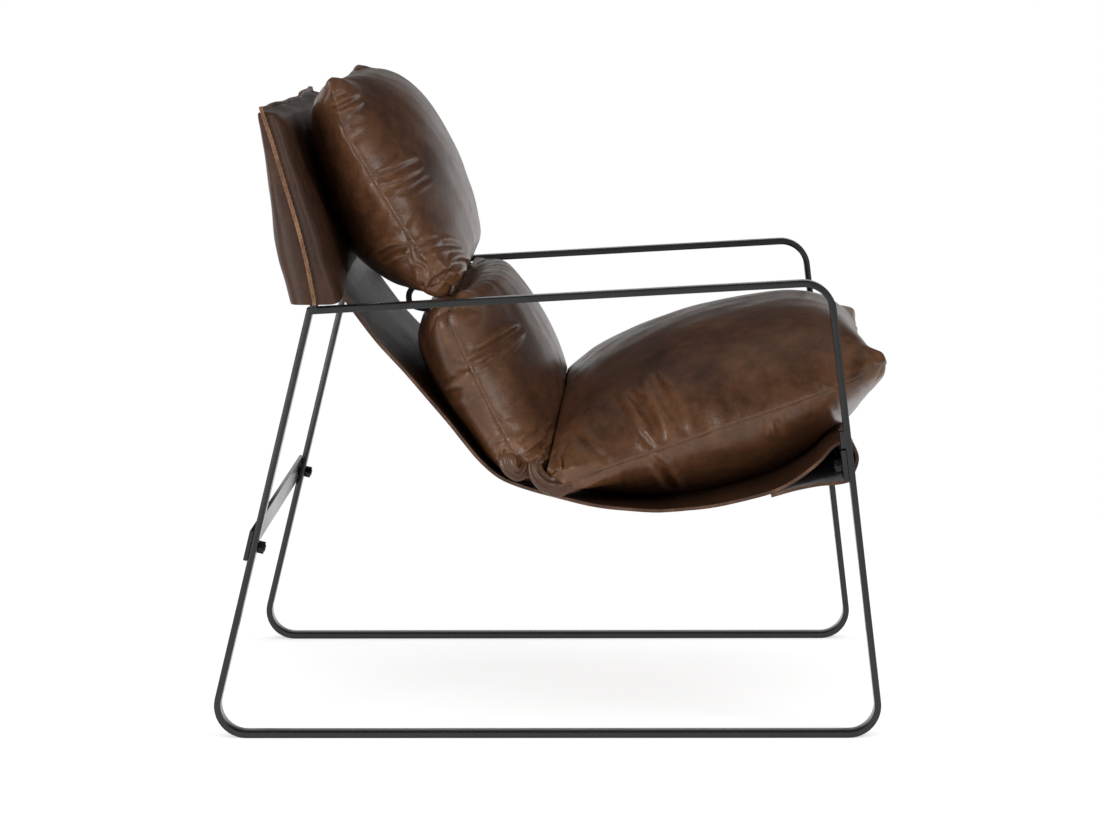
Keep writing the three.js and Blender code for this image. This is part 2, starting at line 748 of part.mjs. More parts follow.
// The stitched folds that join one cushion to the next
function foldStrip(upper, lower) {
  const face = (side) => (u, v) => {
    const from = upper[side](1, v);
    const to = lower[side](0, v);
    const run = to.clone().sub(from);
    const inset = clearance / run.length();
    return from.addScaledVector(run, inset + u * (1 - 2 * inset));
  };
  return shellBetween(face('front'), face('rear'), 1, 20);
}
addPiece('upper_fold', foldStrip(headrest, lumbar), 'cushion');
addPiece('lower_fold', foldStrip(lumbar, seat), 'cushion');

// Two short elastic ties run from under the headrest to the back of the lumbar cushion
function standing(surface, u, v, away) {
  const here = surface(u, v);
  const aside = surface(u, v + 0.02).sub(here);
  const onward = surface(u + 0.02, v).sub(here);
  const normal = onward.cross(aside).normalize();
  return { point: here.clone().addScaledVector(normal, away), normal };
}
for (const { name, side } of sides) {
  const v = Math.acos((side * tieReach) / (backCushionWidth / 2)) / Math.PI;
  const from = standing(headrest.rear, 0.84, v, clearance);
  const to = standing(lumbar.rear, 0.09, v, clearance);
  const path = new THREE.CubicBezierCurve3(
    from.point,
    from.point.clone().addScaledVector(from.normal, tieBow),
    to.point.clone().addScaledVector(to.normal, tieBow),
    to.point,
  );
  const round = new THREE.Shape(Array.from({ length: tieSides }, (unused, k) => at(
    (tieDiameter / 2) * Math.cos((2 * Math.PI * k) / tieSides),
    (tieDiameter / 2) * Math.sin((2 * Math.PI * k) / tieSides),
  )));
  const tie = new THREE.ExtrudeGeometry(round, { steps: 10, extrudePath: path, bevelEnabled: false });
  addPiece(`cushion_tie_${name}`, tie, 'elastic');
}

// The chair stands with the bottom centre of its box at the origin
chair.updateMatrixWorld(true);
const box = new THREE.Box3().setFromObject(chair);
const centre = box.getCenter(new THREE.Vector3());
chair.position.set(-centre.x, -centre.y, -box.min.z);

export default chair;
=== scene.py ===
# %% [markdown]
# # Leather sling lounge chair
#
# A bolted steel frame carries a thick leather sling, a leather pocket is pulled over its two back posts,
# and a chain of three sewn cushions lies on the sling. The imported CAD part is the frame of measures: every
# piece made here takes its place from it, in metres, with +Z up and the chair facing -Y.

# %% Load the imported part
import math
import bmesh
import bpy
import numpy as np
from mathutils import Matrix, Vector
from mathutils.bvhtree import BVHTree
from mathutils.kdtree import KDTree


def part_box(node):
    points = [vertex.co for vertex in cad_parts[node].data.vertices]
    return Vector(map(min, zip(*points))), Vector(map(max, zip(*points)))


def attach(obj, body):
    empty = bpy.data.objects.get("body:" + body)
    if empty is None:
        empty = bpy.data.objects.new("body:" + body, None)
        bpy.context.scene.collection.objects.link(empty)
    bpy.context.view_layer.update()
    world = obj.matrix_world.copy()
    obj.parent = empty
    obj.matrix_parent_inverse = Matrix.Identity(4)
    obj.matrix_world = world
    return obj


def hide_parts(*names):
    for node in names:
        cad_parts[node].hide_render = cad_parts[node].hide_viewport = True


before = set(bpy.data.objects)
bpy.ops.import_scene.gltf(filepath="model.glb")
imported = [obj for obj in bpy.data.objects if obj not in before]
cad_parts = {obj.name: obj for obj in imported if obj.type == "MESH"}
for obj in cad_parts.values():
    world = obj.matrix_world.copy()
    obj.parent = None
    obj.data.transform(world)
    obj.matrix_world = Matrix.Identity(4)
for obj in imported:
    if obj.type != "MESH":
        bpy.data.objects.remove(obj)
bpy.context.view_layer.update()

MM = 0.001
scene = bpy.context.scene

# %% [markdown]
# ## Places in the side view
#
# A chair like this is drawn from the side: a point is so far forward of the rear foot and so far up. One
# helper turns such a drawing point, in millimetres, into a place in the room. The rear foot is found from
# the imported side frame, so the drawing moves with it.

# %% From the side drawing to the room
FRAME_REAR = 11.22  # the rear bend's outermost point lies this far forward of the rear foot's corner
rear_foot_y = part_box("side_frame_right")[1].y + FRAME_REAR * MM


def room(forward, up, across):
    """Arrays of drawing places in millimetres to an array of points in metres."""
    forward, up, across = np.broadcast_arrays(forward, up, across)
    return np.stack([across * MM, rear_foot_y - forward * MM, up * MM], -1)


def leaning(angle):
    """Direction in the side drawing that leans forward from upright by an angle in degrees."""
    return np.array([math.sin(math.radians(angle)), math.cos(math.radians(angle))])


print("rear foot at y =", round(rear_foot_y, 4))

# %% [markdown]
# ## Camera
#
# The photograph looks at the sitter's right side from a little above, through a long lens. The place and
# the angles were fitted to the corners of the steel frame.

# %% Camera
camera = bpy.data.objects.new("camera", bpy.data.cameras.new("camera"))
scene.collection.objects.link(camera)
scene.camera = camera
camera.data.sensor_width = 36
camera.data.lens = 121.68
camera.data.clip_end = 50
yaw, pitch, roll = 0.0214, 0.1222, -0.005
rightward = Vector((math.sin(yaw), -math.cos(yaw), 0))
ahead = Vector((math.cos(yaw) * math.cos(pitch), math.sin(yaw) * math.cos(pitch), -math.sin(pitch)))
upward = rightward.cross(ahead)
tilted = rightward * math.cos(roll) + upward * math.sin(roll)
upright = upward * math.cos(roll) - rightward * math.sin(roll)
eye = Vector(room(525.2, 959.6, -4857.2))
turned = Matrix((tilted, upright, -ahead)).transposed()
camera.matrix_world = Matrix.Translation(eye) @ turned.to_4x4()
FRAME_WIDE, FRAME_TALL = 1100, 824
FOCAL = camera.data.lens / camera.data.sensor_width * FRAME_WIDE


def sight(x, y):
    """The direction from the camera through a spot of the photograph's frame."""
    return ahead * FOCAL + tilted * (x - FRAME_WIDE / 2) - upright * (y - FRAME_TALL / 2)


print("camera at", [round(v, 3) for v in eye])

# %% [markdown]
# ## Studio
#
# A white studio: a white floor that keeps a faint shadow, a white surround, one wide soft lamp above and
# two small ones on the camera's side, one towards the chair's front and one towards its rear. The backdrop
# shows as white to the camera, and in gloss too, up to about the height of a studio's wall. The ceiling
# over it is dark, so a face that looks up has its grey sheen only along its far edge.


# %% Colours and nodes
def colour(code):
    """An sRGB hex value as linear red, green, blue and alpha."""
    parts = [int(code[i : i + 2], 16) / 255 for i in (1, 3, 5)]
    return [p / 12.92 if p <= 0.04045 else ((p + 0.055) / 1.055) ** 2.4 for p in parts] + [1]


def add_node(tree, kind, inputs=None, steps=None, **settings):
    """Adds a node: settings are properties, inputs are values or the sockets that feed it, steps a ramp."""
    new = tree.nodes.new("ShaderNode" + kind)
    for key, value in settings.items():
        setattr(new, key, value)
    if steps:
        while len(new.color_ramp.elements) < len(steps):
            new.color_ramp.elements.new(1)
        for element, (place, tone) in zip(new.color_ramp.elements, steps):
            element.position = place
            element.color = colour(tone)
    for key, value in (inputs or {}).items():
        if isinstance(value, bpy.types.NodeSocket):
            tree.links.new(value, new.inputs[key])
        else:
            new.inputs[key].default_value = value
    return new


def combine(tree, operation, first, second, **settings):
    """A number worked out from two numbers."""
    return add_node(tree, "Math", {0: first, 1: second}, operation=operation, **settings).outputs[0]


def remap(tree, value, low, high, to_low, to_high, **settings):
    """A number moved from one range to another."""
    inputs = {"Value": value, "From Min": low, "From Max": high, "To Min": to_low, "To Max": to_high}
    return add_node(tree, "MapRange", inputs, **settings).outputs[0]


def blend(tree, share, first, second):
    """Two shaders mixed by a share."""
    return add_node(tree, "MixShader", {0: share, 1: first, 2: second}).outputs[0]


def direct_rays(tree):
    """The rays that a light path node tells apart: those from the camera, and those in gloss or glass."""
    rays = add_node(tree, "LightPath")
    mirrored = combine(tree, "MAXIMUM", rays.outputs["Is Glossy Ray"], rays.outputs["Is Transmission Ray"])
    return rays.outputs["Is Camera Ray"], mirrored


# %% White surround
scene.view_settings.view_transform = "Standard"
surround = bpy.data.worlds.new("surround")
scene.world = surround
surround.use_nodes = True
tree = surround.node_tree
tree.nodes.clear()
from_camera, mirrored = direct_rays(tree)
looking = add_node(tree, "TexCoord").outputs["Generated"]
upward_part = add_node(tree, "SeparateXYZ", {0: looking}).outputs["Z"]
wall = remap(tree, upward_part, 0, 0.28, 0.92, 0.06, interpolation_type="SMOOTHSTEP")
lit, backdrop, shown = (
    add_node(tree, "Background", {"Color": colour("#ffffff"), "Strength": strength}).outputs[0]
    for strength in (0.56, wall, 1.0)
)
mixed = blend(tree, from_camera, blend(tree, mirrored, lit, backdrop), shown)
add_node(tree, "OutputWorld", {"Surface": mixed})

# %% Materials
def new_material(name):
    """An empty material, its node tree and the place on the piece that its patterns follow."""
    made = bpy.data.materials.new(name)
    made.use_nodes = True
    made.node_tree.nodes.clear()
    return made, made.node_tree, add_node(made.node_tree, "TexCoord").outputs["Object"]


# %% Floor with a faint shadow
bpy.ops.object.select_all(action="DESELECT")
bpy.ops.mesh.primitive_plane_add(size=24, location=(0, 0, 0))
floor = bpy.context.object
floor.name = "floor"
paper, tree, place = new_material("matt_white_studio_floor")
from_camera, mirrored = direct_rays(tree)
reach = add_node(tree, "VectorMath", {0: place}, operation="LENGTH").outputs["Value"]
beyond = remap(tree, reach, 0.6, 1.6, 0, 1, interpolation_type="SMOOTHSTEP")
matt = add_node(tree, "BsdfDiffuse", {"Color": colour("#f7f7f7")}).outputs[0]
glow, white = (
    add_node(tree, "Emission", {"Color": colour("#ffffff"), "Strength": strength}).outputs[0]
    for strength in (0.52, 1.0)
)
near = add_node(tree, "AddShader", {0: matt, 1: glow}).outputs[0]
seen = blend(tree, beyond, near, white)
mixed = blend(tree, combine(tree, "MAXIMUM", from_camera, mirrored), matt, seen)
add_node(tree, "OutputMaterial", {"Surface": mixed})
floor.data.materials.append(paper)


# %% Lamps
def soft_lamp(name, place, target, width, depth, power):
    """A rectangular lamp that looks at a target."""
    lamp = bpy.data.objects.new(name, bpy.data.lights.new(name, "AREA"))
    lamp.data.shape = "RECTANGLE"
    lamp.data.size, lamp.data.size_y, lamp.data.energy = width, depth, power
    lamp.location = place
    lamp.rotation_euler = (Vector(target) - Vector(place)).to_track_quat("-Z", "Y").to_euler()
    scene.collection.objects.link(lamp)


soft_lamp("overhead_lamp", (0.2, 0.1, 3.2), (0, 0, 0.3), 3.4, 3.0, 6)
soft_lamp("front_side_lamp", (-2.4, -2.4, 1.7), (0, 0, 0.5), 1.2, 1.0, 23)
soft_lamp("rear_side_lamp", (-3.0, 1.8, 0.8), (0, 0, 0.5), 1.1, 1.1, 38)

# %% [markdown]
# ## Powder-coated steel
#
# The bars are mild steel under a black powder coat. The coat is baked plastic, so it isn't metal to the
# eye: a soft, even gloss over near black, with a very fine orange peel, and a little greyer in broad soft
# clouds. Sizes of patterns are in millimetres throughout.


# %% Powder coat
def noise(tree, place, size, detail=2, roughness=0.5):
    """Cloudy noise with clouds about so many millimetres wide."""
    inputs = {"Vector": place, "Scale": 1 / (size * MM), "Detail": detail, "Roughness": roughness}
    return add_node(tree, "TexNoise", inputs).outputs["Fac"]


def ramp(tree, value, steps):
    """Tones at steps along a value."""
    return add_node(tree, "ValToRGB", {"Fac": value}, steps=steps).outputs["Color"]


def bump(tree, height, strength, deep, below=None):
    """A surface raised by so many millimetres, on top of another bump."""
    inputs = {"Height": height, "Strength": strength, "Distance": deep * MM}
    if below is not None:
        inputs["Normal"] = below
    return add_node(tree, "Bump", inputs).outputs[0]


def finish(tree, **values):
    """The surface itself, from values and sockets named as the shader's own, with _ for a space."""
    inputs = {key.replace("_", " "): value for key, value in values.items()}
    shader = add_node(tree, "BsdfPrincipled", inputs)
    add_node(tree, "OutputMaterial", {"Surface": shader.outputs[0]})


coat, tree, place = new_material("black_powder_coated_steel")
cloudy = noise(tree, place, 35, 4, 0.6)
peel = noise(tree, place, 1.1)
finish(
    tree,
    Base_Color=ramp(tree, cloudy, [(0.35, "#0b0c0d"), (0.7, "#161719")]),
    Roughness=remap(tree, cloudy, 0, 1, 0.17, 0.27),
    IOR=1.5,
    Normal=bump(tree, peel, 0.25, 0.05),
)

# %% [markdown]
# ## Black oxide fasteners
#
# Screws and nuts are dipped until a thin black oxide grows on them. Under it they stay metal, so they are
# dark with a cold, sharper gleam on their chamfers.

# %% Black oxide
oxide, tree, place = new_material("black_oxide_steel_fasteners")
cloudy = noise(tree, place, 4, 3)
finish(
    tree,
    Base_Color=ramp(tree, cloudy, [(0.3, "#1d1e20"), (0.75, "#34363a")]),
    Metallic=0.8,
    Roughness=remap(tree, cloudy, 0, 1, 0.3, 0.48),
)

# %% [markdown]
# ## Leathers
#
# Two leathers are used. The cushions are sewn from soft pull-up hide about a millimetre thick: an oily wax
# finish that turns lighter and more amber where it is stretched, with a satin gloss; its creases and the
# seam's groove get painted shade, a darker colour in the hollows.
# The sling and the pocket are thick saddle hide of the same colour, stiffer and drier, whose cut edges show
# tan fibre. Both share the grain: fine pebbles, soft creases a centimetre apart, and slow changes of tone
# as in any hide. Three marks on a piece's points steer the recipe: pull, gathered, and gather_map, the way
# along a seam and off it.


# %% Leather recipe
def scaled(tree, what, share):
    """A colour or a direction made larger or smaller."""
    return add_node(tree, "VectorMath", {0: what, 3: share}, operation="SCALE").outputs[0]


def mix_colours(tree, share, first, code):
    """A colour mixed with a hex value by a share."""
    mix = add_node(tree, "Mix", {"Factor": share}, data_type="RGBA")
    under, over = [socket for socket in mix.inputs if socket.type == "RGBA"]
    tree.links.new(first, under)
    over.default_value = colour(code)
    return next(socket for socket in mix.outputs if socket.type == "RGBA")


def crack_lines(tree, place, per_metre):
    """Distance from a net of lines."""
    inputs = {"Vector": place, "Scale": per_metre}
    return add_node(tree, "TexVoronoi", inputs, feature="DISTANCE_TO_EDGE").outputs["Distance"]


def leather(name, tones, lighter, grain, crease, dull, shiny, gleam, wax):
    """A hide with a waxed grain side. 'pull' marks stretched places, 'gathered' those near a seam."""
    made, tree, place = new_material(name)
    pull = add_node(tree, "Attribute", attribute_name="pull").outputs["Fac"]
    near = add_node(tree, "Attribute", attribute_name="gathered").outputs["Fac"]
    along = add_node(tree, "Attribute", attribute_name="gather_map").outputs["Vector"]
    seam_axes = add_node(tree, "SeparateXYZ", {0: along})
    seam_run, off_seam = seam_axes.outputs["X"], seam_axes.outputs["Y"]

    bend = add_node(tree, "TexNoise", {"Vector": place, "Scale": 1 / (30 * MM), "Detail": 3}).outputs["Color"]
    shift = scaled(tree, bend, 9 * MM)
    moved = add_node(tree, "VectorMath", {0: place, 1: shift}, operation="ADD").outputs[0]
    blotch = noise(tree, moved, 17, 6, 0.68)
    lines = crack_lines(tree, moved, 1 / (crease * MM))
    fine = crack_lines(tree, moved, 2.7 / (crease * MM))
    grains = {"Vector": place, "Scale": 1 / (grain * MM)}
    pebbles = add_node(tree, "TexVoronoi", grains, feature="SMOOTH_F1").outputs["Distance"]

    # Tone: blotches on the hide, amber where it is stretched, and painted shade darkening its creases and the
    # seam's groove
    ground = ramp(tree, noise(tree, place, 95, 5, 0.62), tones)
    toned = scaled(tree, ground, remap(tree, blotch, 0.3, 0.75, 0.72, 1.3))
    stretched = combine(tree, "MULTIPLY", pull, blotch, use_clamp=True)
    amber = mix_colours(tree, stretched, toned, lighter)
    # Painted shade: beside the seam line the colour falls to 22 percent, as the shade of its groove
    in_groove = remap(tree, off_seam, 0.3 * MM, 1.5 * MM, 1, 0)
    groove = remap(tree, combine(tree, "MULTIPLY", in_groove, near), 0, 1, 1, 0.22)
    # Painted shade: along the net of crease lines the colour falls to 86 percent
    crease_shade = remap(tree, lines, 0, 0.06, 0.86, 1)
    shade_painted_tone = scaled(tree, amber, combine(tree, "MULTIPLY", crease_shade, groove))

    # Thread: short dashes down the middle of the groove
    dashes = remap(tree, combine(tree, "PINGPONG", seam_run, 2.4 * MM), 1.2 * MM, 1.6 * MM, 0, 0.6)
    in_line = combine(tree, "MULTIPLY", dashes, remap(tree, off_seam, 0.4 * MM, 0.8 * MM, 1, 0))
    final = mix_colours(tree, combine(tree, "MULTIPLY", in_line, near), shade_painted_tone, "#7b5638")

    # Relief, from the broadest to the finest: blotches, gathers, crinkles, creases, their net and the grain
    drawn = {"Vector": along, "Scale": (1 / (5 * MM), 1 / (32 * MM), 1)}
    drawn_up = add_node(tree, "Mapping", drawn).outputs[0]
    streaks = add_node(tree, "TexNoise", {"Vector": drawn_up, "Scale": 1, "Detail": 3, "Roughness": 0.55})
    gathers = combine(tree, "MULTIPLY", streaks.outputs["Fac"], combine(tree, "POWER", near, 3))
    crinkles = combine(tree, "MULTIPLY", noise(tree, moved, 7, 5, 0.7), pull)
    relief = None
    for height, strength, deep in (
        (blotch, 0.25, 1.2),
        (gathers, 0.3, 1.6),
        (crinkles, 0.5, 1.2),
        (remap(tree, lines, 0, 0.12, 0, 1), 0.25, 0.22),
        (remap(tree, fine, 0, 0.15, 0, 1), 0.2, 0.1),
        (pebbles, 0.2, 0.09),
    ):
        relief = bump(tree, height, strength, deep, relief)
    finish(
        tree,
        Base_Color=final,
        Roughness=remap(tree, blotch, 0.3, 0.7, shiny, dull),
        IOR=1.5,
        Specular_IOR_Level=gleam,
        Coat_Weight=wax,
        Coat_Roughness=0.25,
        Normal=relief,
    )
    return made


cushion_hide = leather(
    "oiled_pull_up_leather", [(0.3, "#392319"), (0.5, "#4d3020"), (0.72, "#61412c")], "#7c5435",
    grain=1.5, crease=13, dull=0.38, shiny=0.27, gleam=0.36, wax=0.1,
)
sling_hide = leather(
    "thick_saddle_leather", [(0.3, "#281a13"), (0.5, "#38241a"), (0.72, "#482f20")], "#684630",
    grain=1.9, crease=17, dull=0.48, shiny=0.36, gleam=0.26, wax=0.0,
)

# %% [markdown]
# ## Cut edges, flesh side and thread
#
# Where saddle hide is cut, its fibres show as a dry tan band, darker where it was dyed and burnished. The
# side that faces down is the flesh side: a matt brown nap. The thread is waxed nylon, a shade lighter than
# the hide.


# %% Cut edge, nap and thread
def cut_edge(name, steps):
    """Dry fibres in bands of tan, from the darkest to the lightest tone."""
    made, tree, place = new_material(name)
    fibres = noise(tree, place, 2.2, 5, 0.7)
    both = combine(tree, "ADD", fibres, noise(tree, place, 26, 3))
    tone = ramp(tree, combine(tree, "MULTIPLY", both, 0.5), steps)
    finish(tree, Base_Color=tone, Roughness=0.72, IOR=1.45, Normal=bump(tree, fibres, 0.6, 0.3))
    return made


raw_edge = cut_edge("raw_cut_leather_edge", [(0.33, "#4a3022"), (0.5, "#7a563d"), (0.68, "#a98263")])
worn_edge = cut_edge("burnished_cut_leather_edge", [(0.35, "#33221a"), (0.52, "#553a29"), (0.7, "#8a674a")])

nap, tree, place = new_material("leather_flesh_side_nap")
finish(
    tree,
    Base_Color=ramp(tree, noise(tree, place, 60, 5, 0.6), [(0.3, "#3f2a1e"), (0.7, "#5f4330")]),
    Roughness=0.88,
    IOR=1.45,
    Sheen_Weight=0.25,
    Sheen_Roughness=0.5,
    Normal=bump(tree, noise(tree, place, 1.6, 4, 0.7), 0.7, 0.25),
)

thread, tree, place = new_material("waxed_nylon_thread")
tone = ramp(tree, noise(tree, place, 0.8), [(0.35, "#5c3c26"), (0.65, "#8a6242")])
finish(tree, Base_Color=tone, Roughness=0.55, IOR=1.53)

# %% [markdown]
# ## Elastic
#
# The two ties are rubber in a black braided sheath: matt, with the fine diagonal ribs of the braid.

# %% Braided elastic
elastic, tree, place = new_material("black_braided_elastic")
braid = {"Vector": place, "Scale": 1 / (5 * MM), "Distortion": 1.5}
ribs = add_node(tree, "TexWave", braid, wave_type="BANDS", bands_direction="DIAGONAL").outputs["Fac"]
finish(
    tree,
    Base_Color=ramp(tree, ribs, [(0.2, "#0e0e10"), (0.8, "#1f2023")]),
    Roughness=0.8,
    Sheen_Weight=0.2,
    Normal=bump(tree, ribs, 0.5, 0.2),
)

# %% [markdown]
# ## Steel parts
#
# The CAD bars already have their true sections and bends. A copy of each is merged into one skin, its flat
# faces are made whole, and its long edges get a small round, as a rolled flat bar has, so that they catch a
# line of light. The bends are shaded smooth.

# %% Dress a CAD node
def dress(node, material, rounding, angle=28):
    """A merged copy of a CAD node with rounded edges, smooth bends and a finish."""
    bpy.ops.object.select_all(action="DESELECT")
    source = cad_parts[node]
    piece = bpy.data.objects.new(node + "_finished", source.data.copy())
    scene.collection.objects.link(piece)
    piece.data.materials.clear()
    piece.data.materials.append(material)
    shape = bmesh.new()
    shape.from_mesh(piece.data)
    bmesh.ops.remove_doubles(shape, verts=shape.verts, dist=0.01 * MM)
    bmesh.ops.dissolve_limit(shape, angle_limit=math.radians(1), verts=shape.verts, edges=shape.edges)
    for face in shape.faces:
        face.material_index = 0
    shape.to_mesh(piece.data)
    shape.free()
    bpy.context.view_layer.objects.active = piece
    piece.select_set(True)
    if rounding:
        bevel = piece.modifiers.new("rounded_edges", "BEVEL")
        bevel.width = rounding
        bevel.segments = 2
        bevel.limit_method = "ANGLE"
        bevel.angle_limit = math.radians(35)
        bevel.harden_normals = False
        bpy.ops.object.modifier_apply(modifier=bevel.name)
    bpy.ops.object.shade_smooth_by_angle(angle=math.radians(angle))
    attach(piece, "root")
    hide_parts(node)
    return piece


for node in ("side_frame_left", "side_frame_right", "rear_brace", "front_crossbar", "back_top_bar"):
    made = dress(node, coat, 0.3 * MM)
    print(made.name, len(made.data.polygons), "faces")

# %% Screws and nuts
for side in ("left", "right"):
    for place_name in ("rear", "front", "top"):
        for kind in ("screw", "nut"):
            node = f"{place_name}_{kind}_{side}"
            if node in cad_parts:
                dress(node, oxide, 0.15 * MM, 35)


# %% [markdown]
# ## Sheets and soft forms as grids
#
# Cloth and leather are made as grids of points: rows along the piece, columns across it. A shell joins two
# grids, the grain side and the flesh side, with a rim round the cut edge. Each face remembers which of the
# three it is, because the rim and the flesh side have finishes of their own. A tube closes each row into a
# ring, and both its ends with a cap.

# %% A piece from points and faces
def closed_piece(name, points, faces, materials, kinds=None, flat=()):
    """A smooth closed piece. kinds gives each face's material, and a fold between two kinds stays sharp."""
    mesh = bpy.data.meshes.new(name)
    corners = [tuple(int(i) for i in face) for face in faces]
    mesh.from_pydata(np.asarray(points).reshape(-1, 3).tolist(), [], corners)
    mesh.polygons.foreach_set("use_smooth", [i not in flat for i in range(len(faces))])
    if kinds:
        mesh.polygons.foreach_set("material_index", kinds)
    shape = bmesh.new()
    shape.from_mesh(mesh)
    bmesh.ops.recalc_face_normals(shape, faces=shape.faces)
    for line in shape.edges:
        if len({face.material_index for face in line.link_faces}) > 1:
            line.smooth = False
    shape.to_mesh(mesh)
    shape.free()
    for material in materials:
        mesh.materials.append(material)
    piece = bpy.data.objects.new(name, mesh)
    scene.collection.objects.link(piece)
    return piece


def grid_faces(front, back):
    """The faces of two grids of point numbers, each facing away from the other."""
    faces = []
    for r in range(front.shape[0] - 1):
        for c in range(front.shape[1] - 1):
            faces.append((front[r, c], front[r, c + 1], front[r + 1, c + 1], front[r + 1, c]))
            faces.append((back[r, c], back[r + 1, c], back[r + 1, c + 1], back[r, c + 1]))
    return faces


# %% Shell between two grids
GRAIN_SIDE, FLESH_SIDE, RIM = 0, 1, 2


def shell(name, grain, flesh, materials):
    """A closed sheet between two grids of points. materials are for grain side, flesh side and rim."""
    rows, columns = grain.shape[:2]
    front = np.arange(rows * columns).reshape(rows, columns)
    back = front + rows * columns
    faces = grid_faces(front, back)
    kinds = [GRAIN_SIDE, FLESH_SIDE] * (len(faces) // 2)
    edge = [(r, 0) for r in range(rows)] + [(rows - 1, c) for c in range(1, columns)]
    edge += [(r, columns - 1) for r in range(rows - 2, -1, -1)] + [(0, c) for c in range(columns - 2, 0, -1)]
    rim = [(front[a], front[b], back[b], back[a]) for a, b in zip(edge, edge[1:] + edge[:1])]
    flat = range(len(faces), len(faces) + len(rim))
    kinds += [RIM] * len(rim)
    return closed_piece(name, np.stack([grain, flesh]), faces + rim, materials, kinds, flat)


def tube_faces(rows, columns, first=0):
    """The faces of a tube of rings, with a cap at both ends."""
    def corner(r, c):
        return first + r * columns + c % columns

    walls = [
        (corner(r, c), corner(r, c + 1), corner(r + 1, c + 1), corner(r + 1, c))
        for r in range(rows - 1) for c in range(columns)
    ]
    caps = [[corner(0, -c) for c in range(columns)], [corner(rows - 1, c) for c in range(columns)]]
    return walls + caps


def mark(piece, name, values):
    """Stores one number per point on a piece, or the same one for all, for its material to read."""
    layer = piece.data.attributes.get(name) or piece.data.attributes.new(name, "FLOAT", "POINT")
    layer.data.foreach_set("value", np.full(len(piece.data.vertices), values, np.float32))


def smooth_step(value, low, high):
    """0 below low, 1 above high, and a soft rise between."""
    share = np.clip((value - low) / (high - low), 0, 1)
    return share * share * (3 - 2 * share)


# %% [markdown]
# ## Waves without chance
#
# Leather never lies quite flat. A few sine waves of unlike lengths and directions, added together, give a
# soft unevenness that is the same on every run.

# %% Soft unevenness
def waves(points, length, seed, count=7):
    """Smooth noise from -1 to 1 at points in metres, with waves about so long."""
    chance = np.random.default_rng(seed)
    total = np.zeros(points.shape[:-1])
    for _ in range(count):
        direction = chance.normal(size=3)
        direction *= (2 * math.pi / length) * chance.uniform(0.6, 1.5) / np.linalg.norm(direction)
        total += np.sin(points @ direction + chance.uniform(0, 2 * math.pi))
    return total / math.sqrt(count) * 0.8


# %% [markdown]
# ## The sling
#
# One sheet of saddle hide hangs from the hidden bar in the back pocket, runs down behind the cushions,
# along under the seat, round the front crossbar, and back under itself as a stitched flap. Its middle hangs
# a little lower than its edges. The side drawing gives the line of the middle of its thickness, as forward
# and up by turns, from the cut end behind the bar to the cut end of the flap.

# %% The sling's line in the side drawing
sling_line = np.array([
    110.01, 666.6, 105.84, 683.41, 101.54, 700.56, 95.86, 722.42, 91.27, 740.52, 90.12, 744.32, 89.91,
    747.24, 91.65, 750.43, 94.37, 752.47, 97.73, 751.95, 100.77, 749.95, 101.97, 747.22, 102.72, 743.37,
    105.51, 731.05, 109.99, 712.98, 135.15, 629.51, 164.52, 546.98, 173.41, 531.06, 182.63, 518.19, 196.94,
    499.15, 212.54, 480.23, 227.23, 464.46, 242.02, 448.99, 256.96, 432.07, 271.81, 414.81, 286.72, 397.47,
    301.53, 379.89, 316.99, 360.43, 331.26, 342.99, 338.87, 334.96, 346.06, 328.2, 353.3, 321.88, 360.74,
    316.29, 367.63, 312.17, 375.35, 308.49, 389.27, 303.11, 404.64, 298.19, 419.16, 294.41, 434.55, 291.08,
    456.3, 286.81, 479.2, 283.07, 501.7, 280.51, 523.67, 278.69, 542.07, 277.27, 560.07, 276.83, 578.56,
    278.41, 597.48, 280.99, 619.46, 283.98, 641.82, 287.61, 664.46, 292.12, 685.6, 297.28, 699.49, 301.5,
    712.14, 306.52, 724.05, 312.89, 735.55, 320.4, 748.62, 330.24, 760.16, 340.32, 765.92, 346.8, 770.65,
    352.49, 773.66, 355.73, 776.79, 358.45, 781.59, 361.11, 786.28, 363.22, 788.4, 364.37, 790.47, 365.02,
    793.85, 364.65, 797.2, 363.19, 800.11, 360.06, 802.45, 355.95, 804.72, 350.55, 806.04, 344.85, 805.86,
    339.96, 804.86, 335.29, 803.34, 331.19, 801.56, 327.31, 800.08, 323.87, 798.63, 320.69, 797.66, 318.24,
    796.34, 316.23, 793.53, 314.97, 790.05, 314.19, 785.58, 313.28, 780.38, 312.54, 770.95, 311.88, 760.16,
    311, 745.35, 308.5, 731.12, 305.5, 723.34, 303.53, 716.13, 301.5, 708.17, 299.18, 700.15, 296.8,
]).reshape(-1, 2)
SLING_THICK, SLING_SAG, SLING_HALF_FRONT, SLING_HALF_BACK = 4, 10, 317, 249
EXIT, CROSSBAR, POST_LEAN = 164.65, 789.14, 14


def square_to(direction):
    """A direction turned clockwise by a right angle."""
    return np.array([direction[1], -direction[0]])


def along_run(forward):
    """Share of the way from the pocket's exit to the crossbar."""
    return (forward - EXIT) / (CROSSBAR - EXIT)


def sling_half(forward):
    """Half the sling's width."""
    return SLING_HALF_BACK + (SLING_HALF_FRONT - SLING_HALF_BACK) * smooth_step(along_run(forward), 0.05, 0.8)


def sling_sag(forward, across):
    """How far the sling hangs below its edges."""
    run = along_run(forward)
    rise = smooth_step(run, 0.1, 0.45) * (1 - smooth_step(run, 0.65, 0.84))
    return SLING_SAG * rise * np.maximum(0, 1 - (across / sling_half(forward)) ** 2)


# %% A closer line with even steps
def between(a, b, c, d, t):
    """A smooth curve from b to c, at shares t, that comes from a and goes on to d."""
    return 0.5 * (2 * b + (c - a) * t + (2 * a - 5 * b + 4 * c - d) * t**2 + (3 * b - a - 3 * c + d) * t**3)


def run_along(points):
    """The length run at each point of a line."""
    return np.concatenate([[0], np.cumsum(np.linalg.norm(np.diff(points, axis=0), axis=1))])


